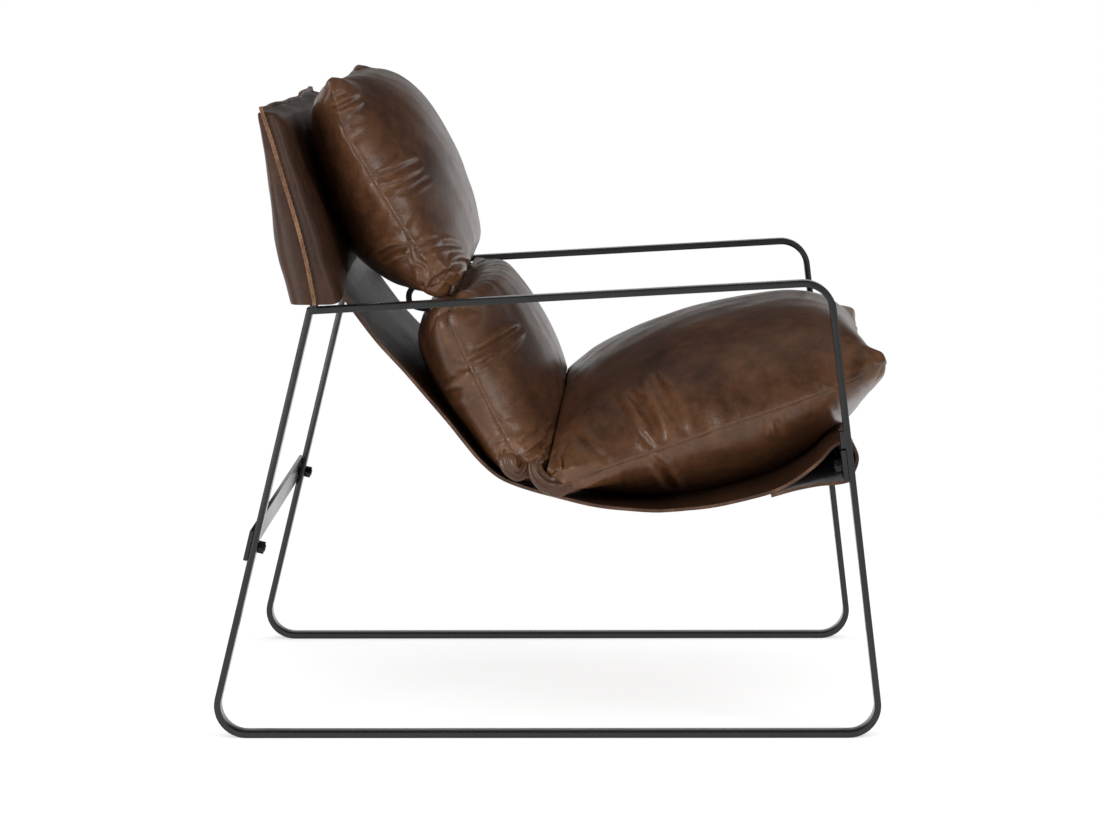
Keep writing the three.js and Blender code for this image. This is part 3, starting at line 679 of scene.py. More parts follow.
def resampled(points, run, places):
    """Points of a line at other places along its run."""
    return np.stack([np.interp(places, run, points[:, i]) for i in range(points.shape[1])], -1)


def even_line(points, spacing, smooth=6):
    """A polyline in even steps through a curve that rounds the corners of the given one, and its run."""
    padded = np.vstack([2 * points[0] - points[1], points, 2 * points[-1] - points[-2]])
    t = np.linspace(0, 1, smooth, endpoint=False)[:, None]
    pieces = [between(*four, t) for four in zip(padded[:-3], padded[1:-2], padded[2:-1], padded[3:])]
    curve = np.vstack(pieces + [points[-1:]])
    run = run_along(curve)
    even = np.linspace(0, run[-1], int(run[-1] / spacing) + 1)
    return resampled(curve, run, even), even


def directions(line):
    """The unit direction at each point of a line."""
    ahead_here = np.gradient(line, axis=0)
    return ahead_here / np.linalg.norm(ahead_here, axis=1, keepdims=True)


sling_even, sling_run = even_line(sling_line, 4.2)
step_ahead = directions(sling_even)
sling_out = np.stack([step_ahead[:, 1], -step_ahead[:, 0]], -1)
print("sling", round(sling_run[-1]), "mm long,", len(sling_even), "rows")

# %% Sling sheet
SLING_COLUMNS = 57
evenly = np.linspace(-1, 1, SLING_COLUMNS)
columns = 0.55 * np.sin(evenly * math.pi / 2) + 0.45 * evenly


def sling_grid(away):
    """Points of one side of the sling, away from its middle by so many millimetres."""
    forward = sling_even[:, 0][:, None] + 0 * columns[None, :]
    across = sling_half(sling_even[:, 0])[:, None] * columns[None, :]
    low = sling_sag(forward, across)
    free = smooth_step(sling_run, 150, 230) * (1 - smooth_step(sling_run, 870, 960))
    ripple = waves(room(forward, sling_even[:, 1][:, None], across), 0.16, 5) * free[:, None]
    edge_waves = waves(room(forward, 0, across), 0.11, 9) * free[:, None]
    lift = away - 0.5 * ripple + 1.3 * smooth_step(np.abs(columns), 0.75, 1)[None, :] * edge_waves
    return room(
        forward - sling_out[:, 0][:, None] * lift,
        sling_even[:, 1][:, None] - sling_out[:, 1][:, None] * lift - low,
        across,
    )


grain_side = sling_grid(SLING_THICK / 2)
flesh_side = sling_grid(-SLING_THICK / 2)
sling = shell("leather_sling", grain_side, flesh_side, [sling_hide, nap, worn_edge])
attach(sling, "root")
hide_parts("sling")
mark(sling, "pull", 0.7)
flat = (2 * SLING_HALF_FRONT * MM, sling_run[-1] * MM)

# %% [markdown]
# ## The back pocket
#
# Two panels of the same hide are sewn face to face at both sides and along the top, and the bag that they
# make is pulled over the posts. Outside the stitches a narrow flange of two cut edges stands out, which
# shows as a tan line from the side. The front panel bulges towards the headrest and its hem rises to the
# middle, and the back one hangs nearly flat. Sizes are in millimetres: up counts from the foot of the
# posts, along their lean.

# %% Pocket panels
POCKET_HALF, POCKET_HIGH, FLANGE, PANEL_THICK = 355.5, 246, 7, 2.2
HEM_GAP, HEM_LIFT, FRONT_HEM_RISE, TOP_SAG, SEAM_BOW, SEAM_GAP = 5, 7, 24, 3, 10, 0.15
FRONT_BULGE, BACK_BULGE = (36, 22), (28, 7.3)  # at the hem and at the top
post_foot = np.array([141.4, 533.69])
post_line = leaning(-POST_LEAN)


def pocket_grid(front, away, rows, spread):
    """Points of one side of a pocket panel, away from its inner side by so many millimetres."""
    up_share, wide = rows[:, None], spread[None, :] * (POCKET_HALF + FLANGE)
    inward = np.minimum(np.abs(wide) / POCKET_HALF, 1)
    hem = HEM_GAP + (HEM_LIFT * (1 - inward**8) + FRONT_HEM_RISE * (1 - inward**2.5) if front else 0)
    top_waves = 2.5 * waves(room(0 * wide, 0 * wide, wide), 0.26, 27) * smooth_step(1 - inward, 0, 0.04)
    top = POCKET_HIGH + FLANGE - TOP_SAG * (1 - inward**2) + top_waves
    up = hem + (top - hem) * up_share
    closing = np.clip(up / (top - FLANGE), 0, 1)
    open_share = (1 - inward**20) ** 0.2 * (1 - closing**20) ** 0.2
    deep, high = FRONT_BULGE if front else BACK_BULGE
    bulge = (deep + (high - deep) * smooth_step(closing, 0 if front else 0.2, 0.95)) * open_share
    bow = SEAM_BOW * np.sin(math.pi * closing**0.6) * (1 - open_share) ** 2
    out = (1 if front else -1) * (SEAM_GAP + away + bulge)
    wide = wide + 0 * up
    spot = room(wide, up, wide)
    soft = open_share * smooth_step(up, 15, 60) * (1 - smooth_step(up, 200, 235))
    out = out + soft * (1.7 * waves(spot, 0.13, 21 if front else 22) + 0.9 * waves(spot, 0.05, 23))
    seam_waves = 3 * waves(spot, 0.28, 28) + 0.5 * waves(spot, 0.12, 29)
    out = out + (1 - open_share) * seam_waves * smooth_step(up, 0, 30)
    return room(post_foot[0] + post_line[0] * up + bow + out, post_foot[1] + post_line[1] * up, wide)


rows = 1 - (1 - np.linspace(0, 1, 49)) ** 1.5
side_spread = np.tanh(np.linspace(0, 2.1, 72)) / math.tanh(2.1)
spread = np.concatenate([-side_spread[:0:-1], side_spread])
for node, front in (("pocket_front_panel", True), ("pocket_back_panel", False)):
    inner = pocket_grid(front, 0, rows, spread)
    outer = pocket_grid(front, PANEL_THICK, rows, spread)
    panel = shell(node.replace("_panel", "_leather"), outer, inner, [sling_hide, nap, raw_edge])
    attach(panel, "root")
    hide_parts(node)
    mark(panel, "pull", 0.25)

# %% [markdown]
# ## Cushions
#
# A cushion is two crowned faces of soft hide that meet in one seam all round. Its form is worked out as the
# CAD solid's is, from the seam's two ends in the side drawing and the height of each face's crown, and then
# a cloth simulation fills it, so that the hide puckers along the seam as it does on a stuffed cushion.

# %% Crown of a face
def crown_at(shares, u):
    """Smooth curve through nine even shares."""
    shares = np.asarray(shares, float)
    padded = np.concatenate([[2 * shares[0] - shares[1]], shares, [2 * shares[-1] - shares[-2]]])
    place = np.clip(u * (len(shares) - 1), 0, len(shares) - 1 - 1e-9)
    i = place.astype(int)
    return between(padded[i], padded[i + 1], padded[i + 2], padded[i + 3], place - i)


def rounded(a, b, radius):
    """Moves places a and b millimetres from the two sides of a square corner onto a round one."""
    p, q = np.maximum(radius - a, 0), np.maximum(radius - b, 0)
    inside = (p > 0) & (q > 0)
    scale = np.where(inside, np.maximum(p, q) / np.maximum(np.hypot(p, q), 1e-9), 1)
    return np.where(inside, radius - p * scale, a), np.where(inside, radius - q * scale, b)


PULL_IN = 14 * 0.7  # how far the sides are drawn in


def cushion_face(form, rear, u, v):
    """Points in the side drawing and across of one face. u runs along the seam's two ends, v across."""
    start, end = np.array(form["start"]), np.array(form["end"])
    along = end - start
    length = np.linalg.norm(along)
    along = along / length
    outward = np.array([-along[1], along[0]])
    angle = u * math.pi
    share = (1 - np.cos(angle)) / 2
    across = -np.cos(v * math.pi)
    shares, depth, wide = form["rear"] if rear else form["front"]
    falloff = np.maximum(1 - np.abs(across) ** wide, 0) ** 0.6
    crown = np.maximum(crown_at(shares, u), 0) * (-depth if rear else depth) * length * falloff
    pulled = 1 - across**2
    drawn_in = form["free_start"] * (1 - share) ** 3 - form["free_end"] * share**3
    run = share * length + pulled * drawn_in
    half = form["width"] / 2 - PULL_IN * np.sin(angle)
    edge = form["lift"] * across**8 * share**12
    arch = np.sqrt(np.maximum(np.sin(angle), 0))
    out = crown + edge - form["bow"] * arch - form["side_bow"] * arch * np.abs(across) ** 3
    inset = half * (1 - np.abs(across))
    run, inset = rounded(run, inset, form["round"][0])
    left, inset = rounded(length - run, inset, form["round"][1])
    side = start + (length - left)[..., None] * along + out[..., None] * outward
    return side, np.sign(across) * (half - inset)


# Ends of the seam in the side drawing, then for each face its crown at nine even shares, the crown's
# height as a share of the length, and how square it is across. bow moves the seam to the rear, side_bow only
# towards the chair's sides; lift raises the ears, and the free ends are moved in at their middle.
cushion_forms = {
    "headrest_cushion": dict(
        start=(147.97, 803.99), end=(303.03, 550.98), width=590, bow=8, side_bow=0, lift=0, free_start=5,
        free_end=0, round=(22, 42), puckered=1,
        front=([0.08, 0.55, 0.87, 1.02, 1.01, 0.88, 0.68, 0.46, 0.12], 0.289, 2.7),
        rear=([0, 0.34, 0.6, 0.8, 0.93, 1, 0.79, 0.45, 0], 0.31, 2.4),
    ),
    "lumbar_cushion": dict(
        start=(303.03, 536.99), end=(410.07, 320.03), width=590, bow=0, side_bow=15, lift=0, free_start=0,
        free_end=0, round=(34, 42), puckered=0.7,
        front=([0.46, 0.77, 0.9, 0.98, 1.01, 0.97, 0.87, 0.68, 0.3], 0.314, 2.9),
        rear=([0.05, 0.58, 0.9, 0.98, 1, 0.93, 0.8, 0.5, 0], 0.339, 3),
    ),
    "seat_cushion": dict(
        start=(430.05, 305.98), end=(845.15, 450), width=620, bow=0, side_bow=0, lift=12, free_start=0,
        free_end=14, round=(44, 24), puckered=0.5,
        front=([0.1, 0.6, 0.87, 1, 1.02, 0.94, 0.8, 0.52, 0], 0.271, 2.8),
        rear=([0, 0.2, 0.55, 0.85, 1, 0.95, 0.66, 0.32, 0], 0.228, 3),
    ),
}


# %% [markdown]
# ### What the cushions press on
#
# Each cushion stays on its own side of the sling, of the pocket and of the stitched folds. These limits
# push a point back out by as much as it went in.

# %% Limits
def off_plane(side, origin, normal, gap):
    """Keeps points on the side of a plane that its normal points to."""
    depth = (side - origin) @ normal
    return side + np.minimum(depth - gap, 0)[:, None] * -normal


RUN_FROM, RUN_BELOW = 120, 587  # where the sling has left its top bar, in the side drawing


def off_sling(side, across, gap):
    """Keeps points above the sling's run."""
    keep = (sling_even[:, 0] > RUN_FROM) & (sling_even[:, 1] < RUN_BELOW)
    last = np.argmax(sling_even[:, 0])
    keep[last:] = False
    line = sling_even[keep]
    hung = np.repeat(line[None], len(side), 0)
    hung[:, :, 1] -= sling_sag(line[None, :, 0], across[:, None])
    near = np.argmin(np.linalg.norm(side[:, None] - hung, axis=2), axis=1)
    foot = hung[np.arange(len(side)), near]
    normal = -sling_out[keep][near]
    height = np.sum((side - foot) * normal, axis=1)
    return side + np.maximum(gap - height, 0)[:, None] * normal


def off_pocket(side, gap):
    """Keeps points in front of the pocket's front panel."""
    up = (side[:, 1] - post_foot[1]) / post_line[1]
    closing = np.clip(up / POCKET_HIGH, 0, 1)
    deep, high = FRONT_BULGE
    bulge = deep + (high - deep) * smooth_step(closing, 0, 0.95)
    least = post_foot[0] + post_line[0] * up + bulge + PANEL_THICK + gap
    moved = side.copy()
    held = side[:, 1] > post_foot[1]
    moved[held, 0] = np.maximum(side[held, 0], least[held])
    return moved


SLING_GAP, POCKET_GAP, FOLD_GAP = 3.2, 0.4, 0.2
upper_fold, upper_forward = np.array([303.03, 543.99]), square_to(leaning(49.5))
lower_fold, lower_forward = np.array([420.06, 313.0]), square_to(leaning(13.5))
limits = {
    "headrest_cushion": [
        lambda s, across: off_pocket(s, POCKET_GAP),
        lambda s, across: off_plane(s, upper_fold, -upper_forward, FOLD_GAP),
    ],
    "lumbar_cushion": [
        lambda s, across: off_sling(s, across, SLING_GAP),
        lambda s, across: off_plane(s, upper_fold, upper_forward, FOLD_GAP),
        lambda s, across: off_plane(s, lower_fold, -lower_forward, FOLD_GAP),
    ],
    "seat_cushion": [
        lambda s, across: off_sling(s, across, SLING_GAP),
        lambda s, across: off_plane(s, lower_fold, lower_forward, FOLD_GAP),
    ],
}


def held_back(name, side, across):
    """Places of the side drawing after all of a cushion's limits."""
    for limit in limits[name]:
        side = limit(side, across)
    return side


# %% Cushion grid
def closer_ends(count, share):
    """Steps from 0 to 1 that are shorter towards both ends."""
    t = np.linspace(0, 1, count + 1)
    return t - share * np.sin(2 * math.pi * t) / (2 * math.pi)


def even_shares(spans, shares, run):
    """Places whose run is so far along, where spans holds the run at even places."""
    return np.interp(spans[-1] * shares, spans, run)


def cushion_mesh(name, form, rows, columns):
    """A closed mesh of two faces that share the points of the seam."""
    fine_steps = np.linspace(0, 1, 401)
    midway = 0.5 + 0 * fine_steps
    spans = [run_along(cushion_face(form, rear, fine_steps, midway)[0]) for rear in (False, True)]
    u_even = even_shares(sum(s / s[-1] for s in spans), closer_ends(rows, 0.35), fine_steps)
    side, across = cushion_face(form, False, midway, fine_steps)
    v_even = even_shares(run_along(np.column_stack([side, across])), closer_ends(columns, 0.6), fine_steps)
    uu, vv = np.meshgrid(u_even, v_even, indexing="ij")
    grids = []
    for rear in (False, True):
        side, across = cushion_face(form, rear, uu, vv)
        side = held_back(name, side.reshape(-1, 2), across.reshape(-1)).reshape(side.shape)
        grids.append(room(side[..., 0], side[..., 1], across))
    count = uu.size
    front = np.arange(count).reshape(uu.shape)
    edge = np.zeros_like(front, bool)
    edge[[0, -1], :] = edge[:, [0, -1]] = True
    back = front.copy()
    back[~edge] = count + np.arange((~edge).sum())
    points = np.concatenate([grids[0].reshape(-1, 3), grids[1][~edge]])
    points[front[edge]] = (grids[0][edge] + grids[1][edge]) / 2
    piece = closed_piece(name.replace("_cushion", "_leather_cushion"), points, grid_faces(front, back), [])
    on_seam = np.zeros(len(points))
    on_seam[front[edge]] = 1
    mark(piece, "on_seam", on_seam)
    rear_face = np.ones(len(points))
    rear_face[:count] = 0
    rear_face[front[edge]] = 0.5
    mark(piece, "rear_face", rear_face)
    return piece


# %% Reading and writing a mesh
def read(items, kind, width=3):
    """Numbers of a mesh's points, normals or marks as an array."""
    found = np.empty(len(items) * width, np.float32)
    items.foreach_get(kind, found)
    return found.astype(float).reshape((-1, width) if width > 1 else -1)


def points_of(mesh):
    """A mesh's points, in metres."""
    return read(mesh.vertices, "co")


def values_of(mesh, name):
    """The numbers that mark stored on a mesh."""
    return read(mesh.attributes[name].data, "value", 1)


def put_points(mesh, points):
    """Moves a mesh's points to new places."""
    mesh.vertices.foreach_set("co", points.reshape(-1).astype(np.float32))
    mesh.update()


def hold_back(name, points):
    """Applies a cushion's limits to points in metres."""
    across = points[:, 0] / MM
    side = np.stack([(rear_foot_y - points[:, 1]) / MM, points[:, 2] / MM], -1)
    side = held_back(name, side, across)
    return room(side[:, 0], side[:, 1], across)


def search_tree(points):
    """A tree that finds the nearest of these points, by number."""
    tree = KDTree(len(points))
    for i, p in enumerate(points):
        tree.insert(Vector(p), i)
    tree.balance()
    return tree


# %% [markdown]
# ### Filling the covers
#
# A real cover is cut a little too long along its seam and gathers there when it is stuffed. So the cloth
# simulation blows the cover up while the hide beside the seam is let grow by a few hundredths and the
# seam's own points are held. No point may move further than the hide's slack allows, and the result becomes
# the mesh.

# %% Cloth simulation of a cover
FILLING_STEPS, SMOOTHINGS = 12, 40


def weigh(piece, name, weights):
    """A vertex group with one weight per point, in sixteen steps."""
    group = piece.vertex_groups.new(name=name)
    steps = np.round(np.clip(weights, 0, 1) * 16).astype(int)
    for level in range(1, 17):
        chosen = np.nonzero(steps == level)[0].tolist()
        if chosen:
            group.add(chosen, level / 16, "REPLACE")
    return group.name


def seam_distance(piece):
    """Distance of each point from the nearest point of the seam, in metres."""
    points = points_of(piece.data)
    tree = search_tree(points[values_of(piece.data, "on_seam") > 0.9])
    return np.array([tree.find(Vector(p))[2] for p in points])


def fill(piece, pressure, growth, reach, cap, seed):
    """Blows a cover up as cloth. The hide is too long by growth beside the seam, as far as reach."""
    start = points_of(piece.data)
    slack = seam_distance(piece)
    unevenness = waves(start, 0.04, seed) * 0.6 * MM * smooth_step(slack, 0, 0.02)
    put_points(piece.data, start + read(piece.data.vertex_normals, "vector") * unevenness[:, None])
    held = weigh(piece, "held", 1 - smooth_step(slack, 0.0005, 0.004))
    firm = weigh(piece, "firm", smooth_step(slack, reach * 0.4, reach))
    cloth = piece.modifiers.new("filling", "CLOTH")
    hide = cloth.settings
    hide.quality = 6
    hide.mass = 0.4
    hide.tension_stiffness = hide.compression_stiffness = 80
    hide.shear_stiffness = 30
    hide.bending_stiffness = 3
    hide.air_damping = 3
    hide.vertex_group_mass = held
    hide.use_pressure = True
    hide.uniform_pressure_force = pressure
    hide.effector_weights.gravity = 0
    hide.shrink_max = 0
    hide.shrink_min = -growth
    hide.vertex_group_shrink = firm
    for step_number in range(1, FILLING_STEPS + 1):
        scene.frame_set(step_number)
    shaped = piece.evaluated_get(bpy.context.evaluated_depsgraph_get())
    result = points_of(shaped.data)
    piece.modifiers.remove(cloth)
    scene.frame_set(1)
    move = result - start
    pairs = np.array([edge.vertices[:] for edge in piece.data.edges])
    joined = np.maximum(np.bincount(pairs.reshape(-1), minlength=len(move)), 1)[:, None]
    taut = (0.25 * smooth_step(slack, 0.0005, 0.004) + 0.55 * smooth_step(slack, 0.01, 0.05))[:, None]
    for _ in range(SMOOTHINGS):
        total = np.zeros_like(move)
        np.add.at(total, pairs[:, 0], move[pairs[:, 1]])
        np.add.at(total, pairs[:, 1], move[pairs[:, 0]])
        move += (total / joined - move) * taut
    far = np.linalg.norm(move, axis=1)
    print(f"{piece.name} moved {far.mean() / MM:.1f} mm, at most {far.max() / MM:.1f} mm")
    move *= (cap * np.tanh(far / cap) / np.maximum(far, 1e-9))[:, None]
    put_points(piece.data, start + move)
    piece.vertex_groups.clear()


# %% [markdown]
# ### Puckers along the seam
#
# The simulation gives the broad folds. The narrower ones, where the needle gathered the hide, are drawn in:
# valleys of unlike length and depth that leave the seam at slightly unlike angles. Each has a low ridge
# beside it, because hide that is pressed in somewhere stands up next to it.

# %% Places along the seam
def seam_loop(piece, count):
    """The seam's points in order, from the grid's border, and the length run at each."""
    shape = bmesh.new()
    shape.from_mesh(piece.data)
    shape.verts.ensure_lookup_table()
    held = values_of(piece.data, "on_seam") > 0.9
    first = int(np.nonzero(held)[0][0])
    order, seen = [first], {first}
    while True:
        onward = [e.other_vert(shape.verts[order[-1]]).index for e in shape.verts[order[-1]].link_edges]
        onward = [k for k in onward if held[k] and k not in seen]
        if not onward:
            break
        order.append(onward[0])
        seen.add(onward[0])
    shape.free()
    points = points_of(piece.data)[order + [first]]
    run = run_along(points)
    even = np.linspace(0, run[-1], count, endpoint=False)
    return resampled(points, run, even), even, run[-1]


def beside_seam(points, loop, runs):
    """For each point its distance from the seam and the seam's run there."""
    tree = search_tree(loop)
    found = [tree.find(Vector(p)) for p in points]
    return np.array([f[2] for f in found]), runs[[f[1] for f in found]]


def puckers(distance, run, total, corners, rear, strength, seed):
    """Depth of the gathered folds in metres at each point."""
    chance = np.random.default_rng(seed)
    depth = np.zeros(len(distance))
    place = 0.0
    while place < total:
        to_corner = min(abs((place - c + total / 2) % total - total / 2) for c in corners)
        crowded = math.exp(-((to_corner / 0.055) ** 2))
        for on_rear in (0, 1):
            here = place + chance.uniform(-0.006, 0.006)
            slant = chance.uniform(-0.6, 0.6)
            wide = chance.uniform(0.0032, 0.0075)
            long = chance.uniform(0.02, 0.05)
            deep = chance.uniform(0.0003, 0.0016) * strength * (1 - 0.8 * crowded)
            aside = (run - here - slant * distance + total / 2) % total - total / 2
            spread = wide * (1 + distance / 0.04)
            near = np.abs(aside) < 5 * spread
            near &= (rear > 0.5) if on_rear else (rear < 0.5)
            x = aside[near] / spread[near]
            fade = np.exp(-((distance[near] / long) ** 2)) * smooth_step(distance[near], 0, 0.006)
            depth[near] += deep * fade * (-np.exp(-(x**2)) + 0.45 * np.exp(-(((x - 1.9) / 1.0) ** 2)))
        place += chance.uniform(0.014, 0.034)
    return depth


# %% [markdown]
# ### Creases seen in the photograph
#
# A few long creases give each cushion its face. Each is drawn as a line over the photograph's frame, 1100
# by 824, and thrown from the camera onto the cushion like a chalk line; the hide is pressed in along it and
# raised beside it. The far end, which the photograph doesn't show, gets the same creases mirrored, a little
# shifted and weaker.

# %% Lines thrown onto a cushion
def throw(tree, spots):
    """Points where lines of sight through spots of the frame meet a surface."""
    hits = []
    for x, y in spots:
        hit = tree.ray_cast(eye, sight(x, y).normalized())[0]
        if hit is not None:
            hits.append(np.array(hit))
    return np.array(hits)


def crease(points, line, deep, wide, raised):
    """Depth in metres that one crease adds at each point, deepest at its middle."""
    dense, _ = even_line(line, 0.002)
    line_tree = search_tree(dense)
    depth = np.zeros(len(points))
    middle = dense.mean(0)
    reach = np.linalg.norm(dense - middle, axis=1).max() + 5 * wide
    for k in np.nonzero(np.linalg.norm(points - middle, axis=1) < reach)[0]:
        _, index, far = line_tree.find(Vector(points[k]))
        share = index / (len(dense) - 1)
        taper = math.sin(math.pi * (0.01 + 0.98 * share)) ** 0.8
        x = far / (wide * (0.65 + 0.35 * taper))
        value = -math.exp(-(abs(x) ** 1.6)) + raised * math.exp(-(((x - 1.9) / 0.9) ** 2))
        depth[k] = deep * taper * value
    return depth


# Each crease: line in pixels, depth and width in millimetres, and the share of its depth raised beside it
creases = {
    "headrest_cushion": [
        ([(371, 182), (386, 176), (397, 172), (409, 166), (421, 161)], 4.2, 4.6, 0.6),
        ([(390, 187), (401, 183), (412, 178), (422, 174)], 2.2, 3.6, 0.6),
        ([(397, 195), (409, 190), (421, 182), (431, 178)], 1.6, 3.6, 0.6),
        ([(351, 204), (361, 203), (373, 199)], 1.7, 5, 0.6),
        ([(361, 188), (370, 182)], 1.0, 4, 0.5),
        ([(372, 219), (381, 215), (390, 212)], 2.0, 3.2, 0.5),
        ([(386, 236), (394, 232), (403, 230)], 1.4, 3.4, 0.6),
        ([(366, 240), (378, 234), (390, 230)], 1.8, 5, 0.6),
        ([(376, 260), (391, 251), (403, 248), (413, 247)], 4.4, 5.2, 0.7),
        ([(392, 266), (402, 259), (412, 254)], 1.6, 4, 0.6),
        ([(414, 249), (422, 244), (431, 241), (441, 240)], 2.6, 3.6, 0.7),
        ([(418, 257), (428, 250), (440, 246), (453, 245), (462, 247)], 3.4, 4, 0.8),
        ([(410, 247), (411, 256), (415, 262), (421, 266), (425, 272), (425, 279), (427, 286), (434, 291),
          (445, 295)], 3.0, 3.2, 0.35),
        ([(427, 283), (436, 279), (444, 272), (451, 266), (459, 263), (468, 264)], 4.6, 4.4, 0.9),
        ([(454, 296), (456, 287), (460, 281), (466, 275), (474, 270)], 4.2, 4, 0.8),
        ([(330, 111), (343, 106), (354, 101), (362, 98)], 3.6, 3.4, 0.8),
        ([(344, 127), (351, 124), (366, 118)], 1.4, 4, 0.6),
        ([(333, 97), (340, 94), (347, 92)], 1.6, 3.2, 0.7),
        ([(341, 152), (332, 157), (326, 161)], 1.0, 5, 0.5),
    ],
    "lumbar_cushion": [
        ([(467, 359), (480, 353), (492, 347), (503, 341), (513, 334), (522, 328)], 5.0, 4.8, 0.7),
        ([(476, 369), (486, 362), (497, 353), (508, 345), (518, 338)], 2.0, 3.6, 0.6),
        ([(452, 369), (464, 367), (474, 365)], 1.6, 3.4, 0.5),
        ([(446, 397), (460, 393), (478, 391)], 3.2, 5.5, 0.5),
        ([(446, 389), (458, 381), (469, 375), (479, 371)], -4.6, 6, 0.3),
        ([(490, 446), (500, 440), (509, 437)], 1.8, 3.4, 0.6),
        ([(499, 461), (508, 456), (515, 453)], 2.6, 3.2, 0.8),
        ([(516, 444), (529, 437), (538, 432)], 2.0, 3.2, 0.8),
        ([(517, 460), (528, 452), (538, 445), (550, 436), (559, 427)], 3.8, 3.2, 1.0),
        ([(526, 467), (534, 459), (543, 453), (553, 447), (558, 440)], 3.6, 3.2, 1.0),
        ([(510, 463), (512, 474), (517, 481)], 2.6, 3.2, 0.9),
        ([(524, 476), (525, 468), (519, 460), (516, 454)], 3.2, 3.2, 0.9),
        ([(532, 440), (536, 432), (541, 426)], 1.4, 3.2, 0.7),
        ([(541, 441), (549, 431), (555, 424)], 1.8, 3.2, 0.8),
        ([(480, 317), (470, 322), (462, 324)], 0.8, 4, 0.5),
    ],
    "seat_cushion": [
        ([(630, 392), (644, 409), (654, 425), (661, 443)], 6.5, 6.5, 0.8),
        ([(618, 392), (630, 406), (641, 422), (649, 440)], -2.6, 6, 0.4),
        ([(650, 372), (659, 387), (668, 403), (677, 418), (684, 432)], 4.0, 6.5, 0.8),
        ([(572, 434), (584, 444), (596, 454), (606, 460)], 2.6, 6, 0.6),
        ([(639, 431), (648, 442), (657, 451)], 2.6, 4.4, 0.7),
        ([(649, 453), (660, 466), (670, 479), (678, 490)], 5.6, 5.4, 0.8),
        ([(690, 398), (704, 420), (716, 444)], 1.6, 9, 0.6),
        ([(600, 330), (590, 352), (584, 376), (581, 398)], 0.7, 10, 0.5),
        ([(626, 470), (625, 480), (624, 488)], 1.4, 3.2, 0.5),
        ([(631, 461), (635, 471), (637, 484), (637, 494)], 1.5, 3.2, 0.3),
        ([(765, 414), (767, 424), (768, 436)], 2.0, 3.4, 0.6),
        ([(773, 413), (778, 426), (783, 438)], 2.2, 3.6, 0.6),
        ([(830, 398), (836, 411), (843, 421)], 0.8, 4.4, 0.5),
        ([(861, 386), (865, 394)], 1.2, 3.2, 0.6),
        ([(571, 481), (563, 484), (556, 489), (547, 491)], 2.6, 3.4, 0.9),
        ([(543, 472), (552, 477), (558, 472), (556, 462), (558, 455)], 4.6, 3.6, 1.0),
        ([(549, 466), (552, 457), (556, 450)], 3.0, 3.2, 0.8),
        ([(573, 471), (567, 466), (564, 456)], 1.6, 3.8, 0.7),
        ([(874, 352), (882, 358), (884, 366)], 1.8, 3.2, 0.7),
    ],
}


# %% [markdown]
# ### Corners
#
# A stuffed corner is never a clean point. At the free ends the cover stands up as a small ear that leans to
# one side; where two cushions are sewn together it is gathered, and plump on both sides of the seam. There
# the seam itself is hidden in the gathers.

# %% Ears and gathered corners: place, shift or bulge, and radius in millimetres
SEWN_BULGE = 10  # corners plumper than this are sewn to the next cushion
ears = {
    "headrest_cushion": [((160, 794, -280), (12, 9, 0), 40), ((160, 794, 280), (3, 8, 0), 50)],
    "lumbar_cushion": [],
    "seat_cushion": [((838, 452, -300), (2, 3, 0), 26), ((838, 452, 300), (-5, 7, 0), 26)],
}
plump = {
    "headrest_cushion": [((303, 551, x), 15, 48) for x in (-290, 290)],
    "lumbar_cushion": [
        *(((303, 537, x), 9, 42) for x in (-290, 290)),
        *(((410, 320, x), 13, 48) for x in (-290, 290)),
    ],
    "seat_cushion": [
        *(((430, 306, x), 15, 52) for x in (-305, 305)),
        *(((832, 468, x), 6, 34) for x in (-288, 288)),
    ],
}

# %% Make the three cushions
def beyond(points, corner, radius):
    """Distance from a corner of the side drawing, in radii."""
    return np.linalg.norm(points - room(*corner), axis=1) / (radius * MM)


def pressed_in(name, points, faces):
    """Depth of all of a cushion's creases at its points, the far side's as well."""
    tree = BVHTree.FromPolygons([Vector(p) for p in points], faces)
    depth = np.zeros(len(points))
    for spots, deep, wide, raised in creases[name]:
        line = throw(tree, spots)
        if len(line) > 1:
            turn = spots[0][0]
            far_side = line * (-1, 1, 1) + (0, 0.007 * math.sin(turn), 0.007 * math.cos(turn))
            depth += crease(points, line, deep * MM, wide * MM, raised)
            depth += crease(points, far_side, 0.8 * deep * MM, wide * MM, raised)
    return depth


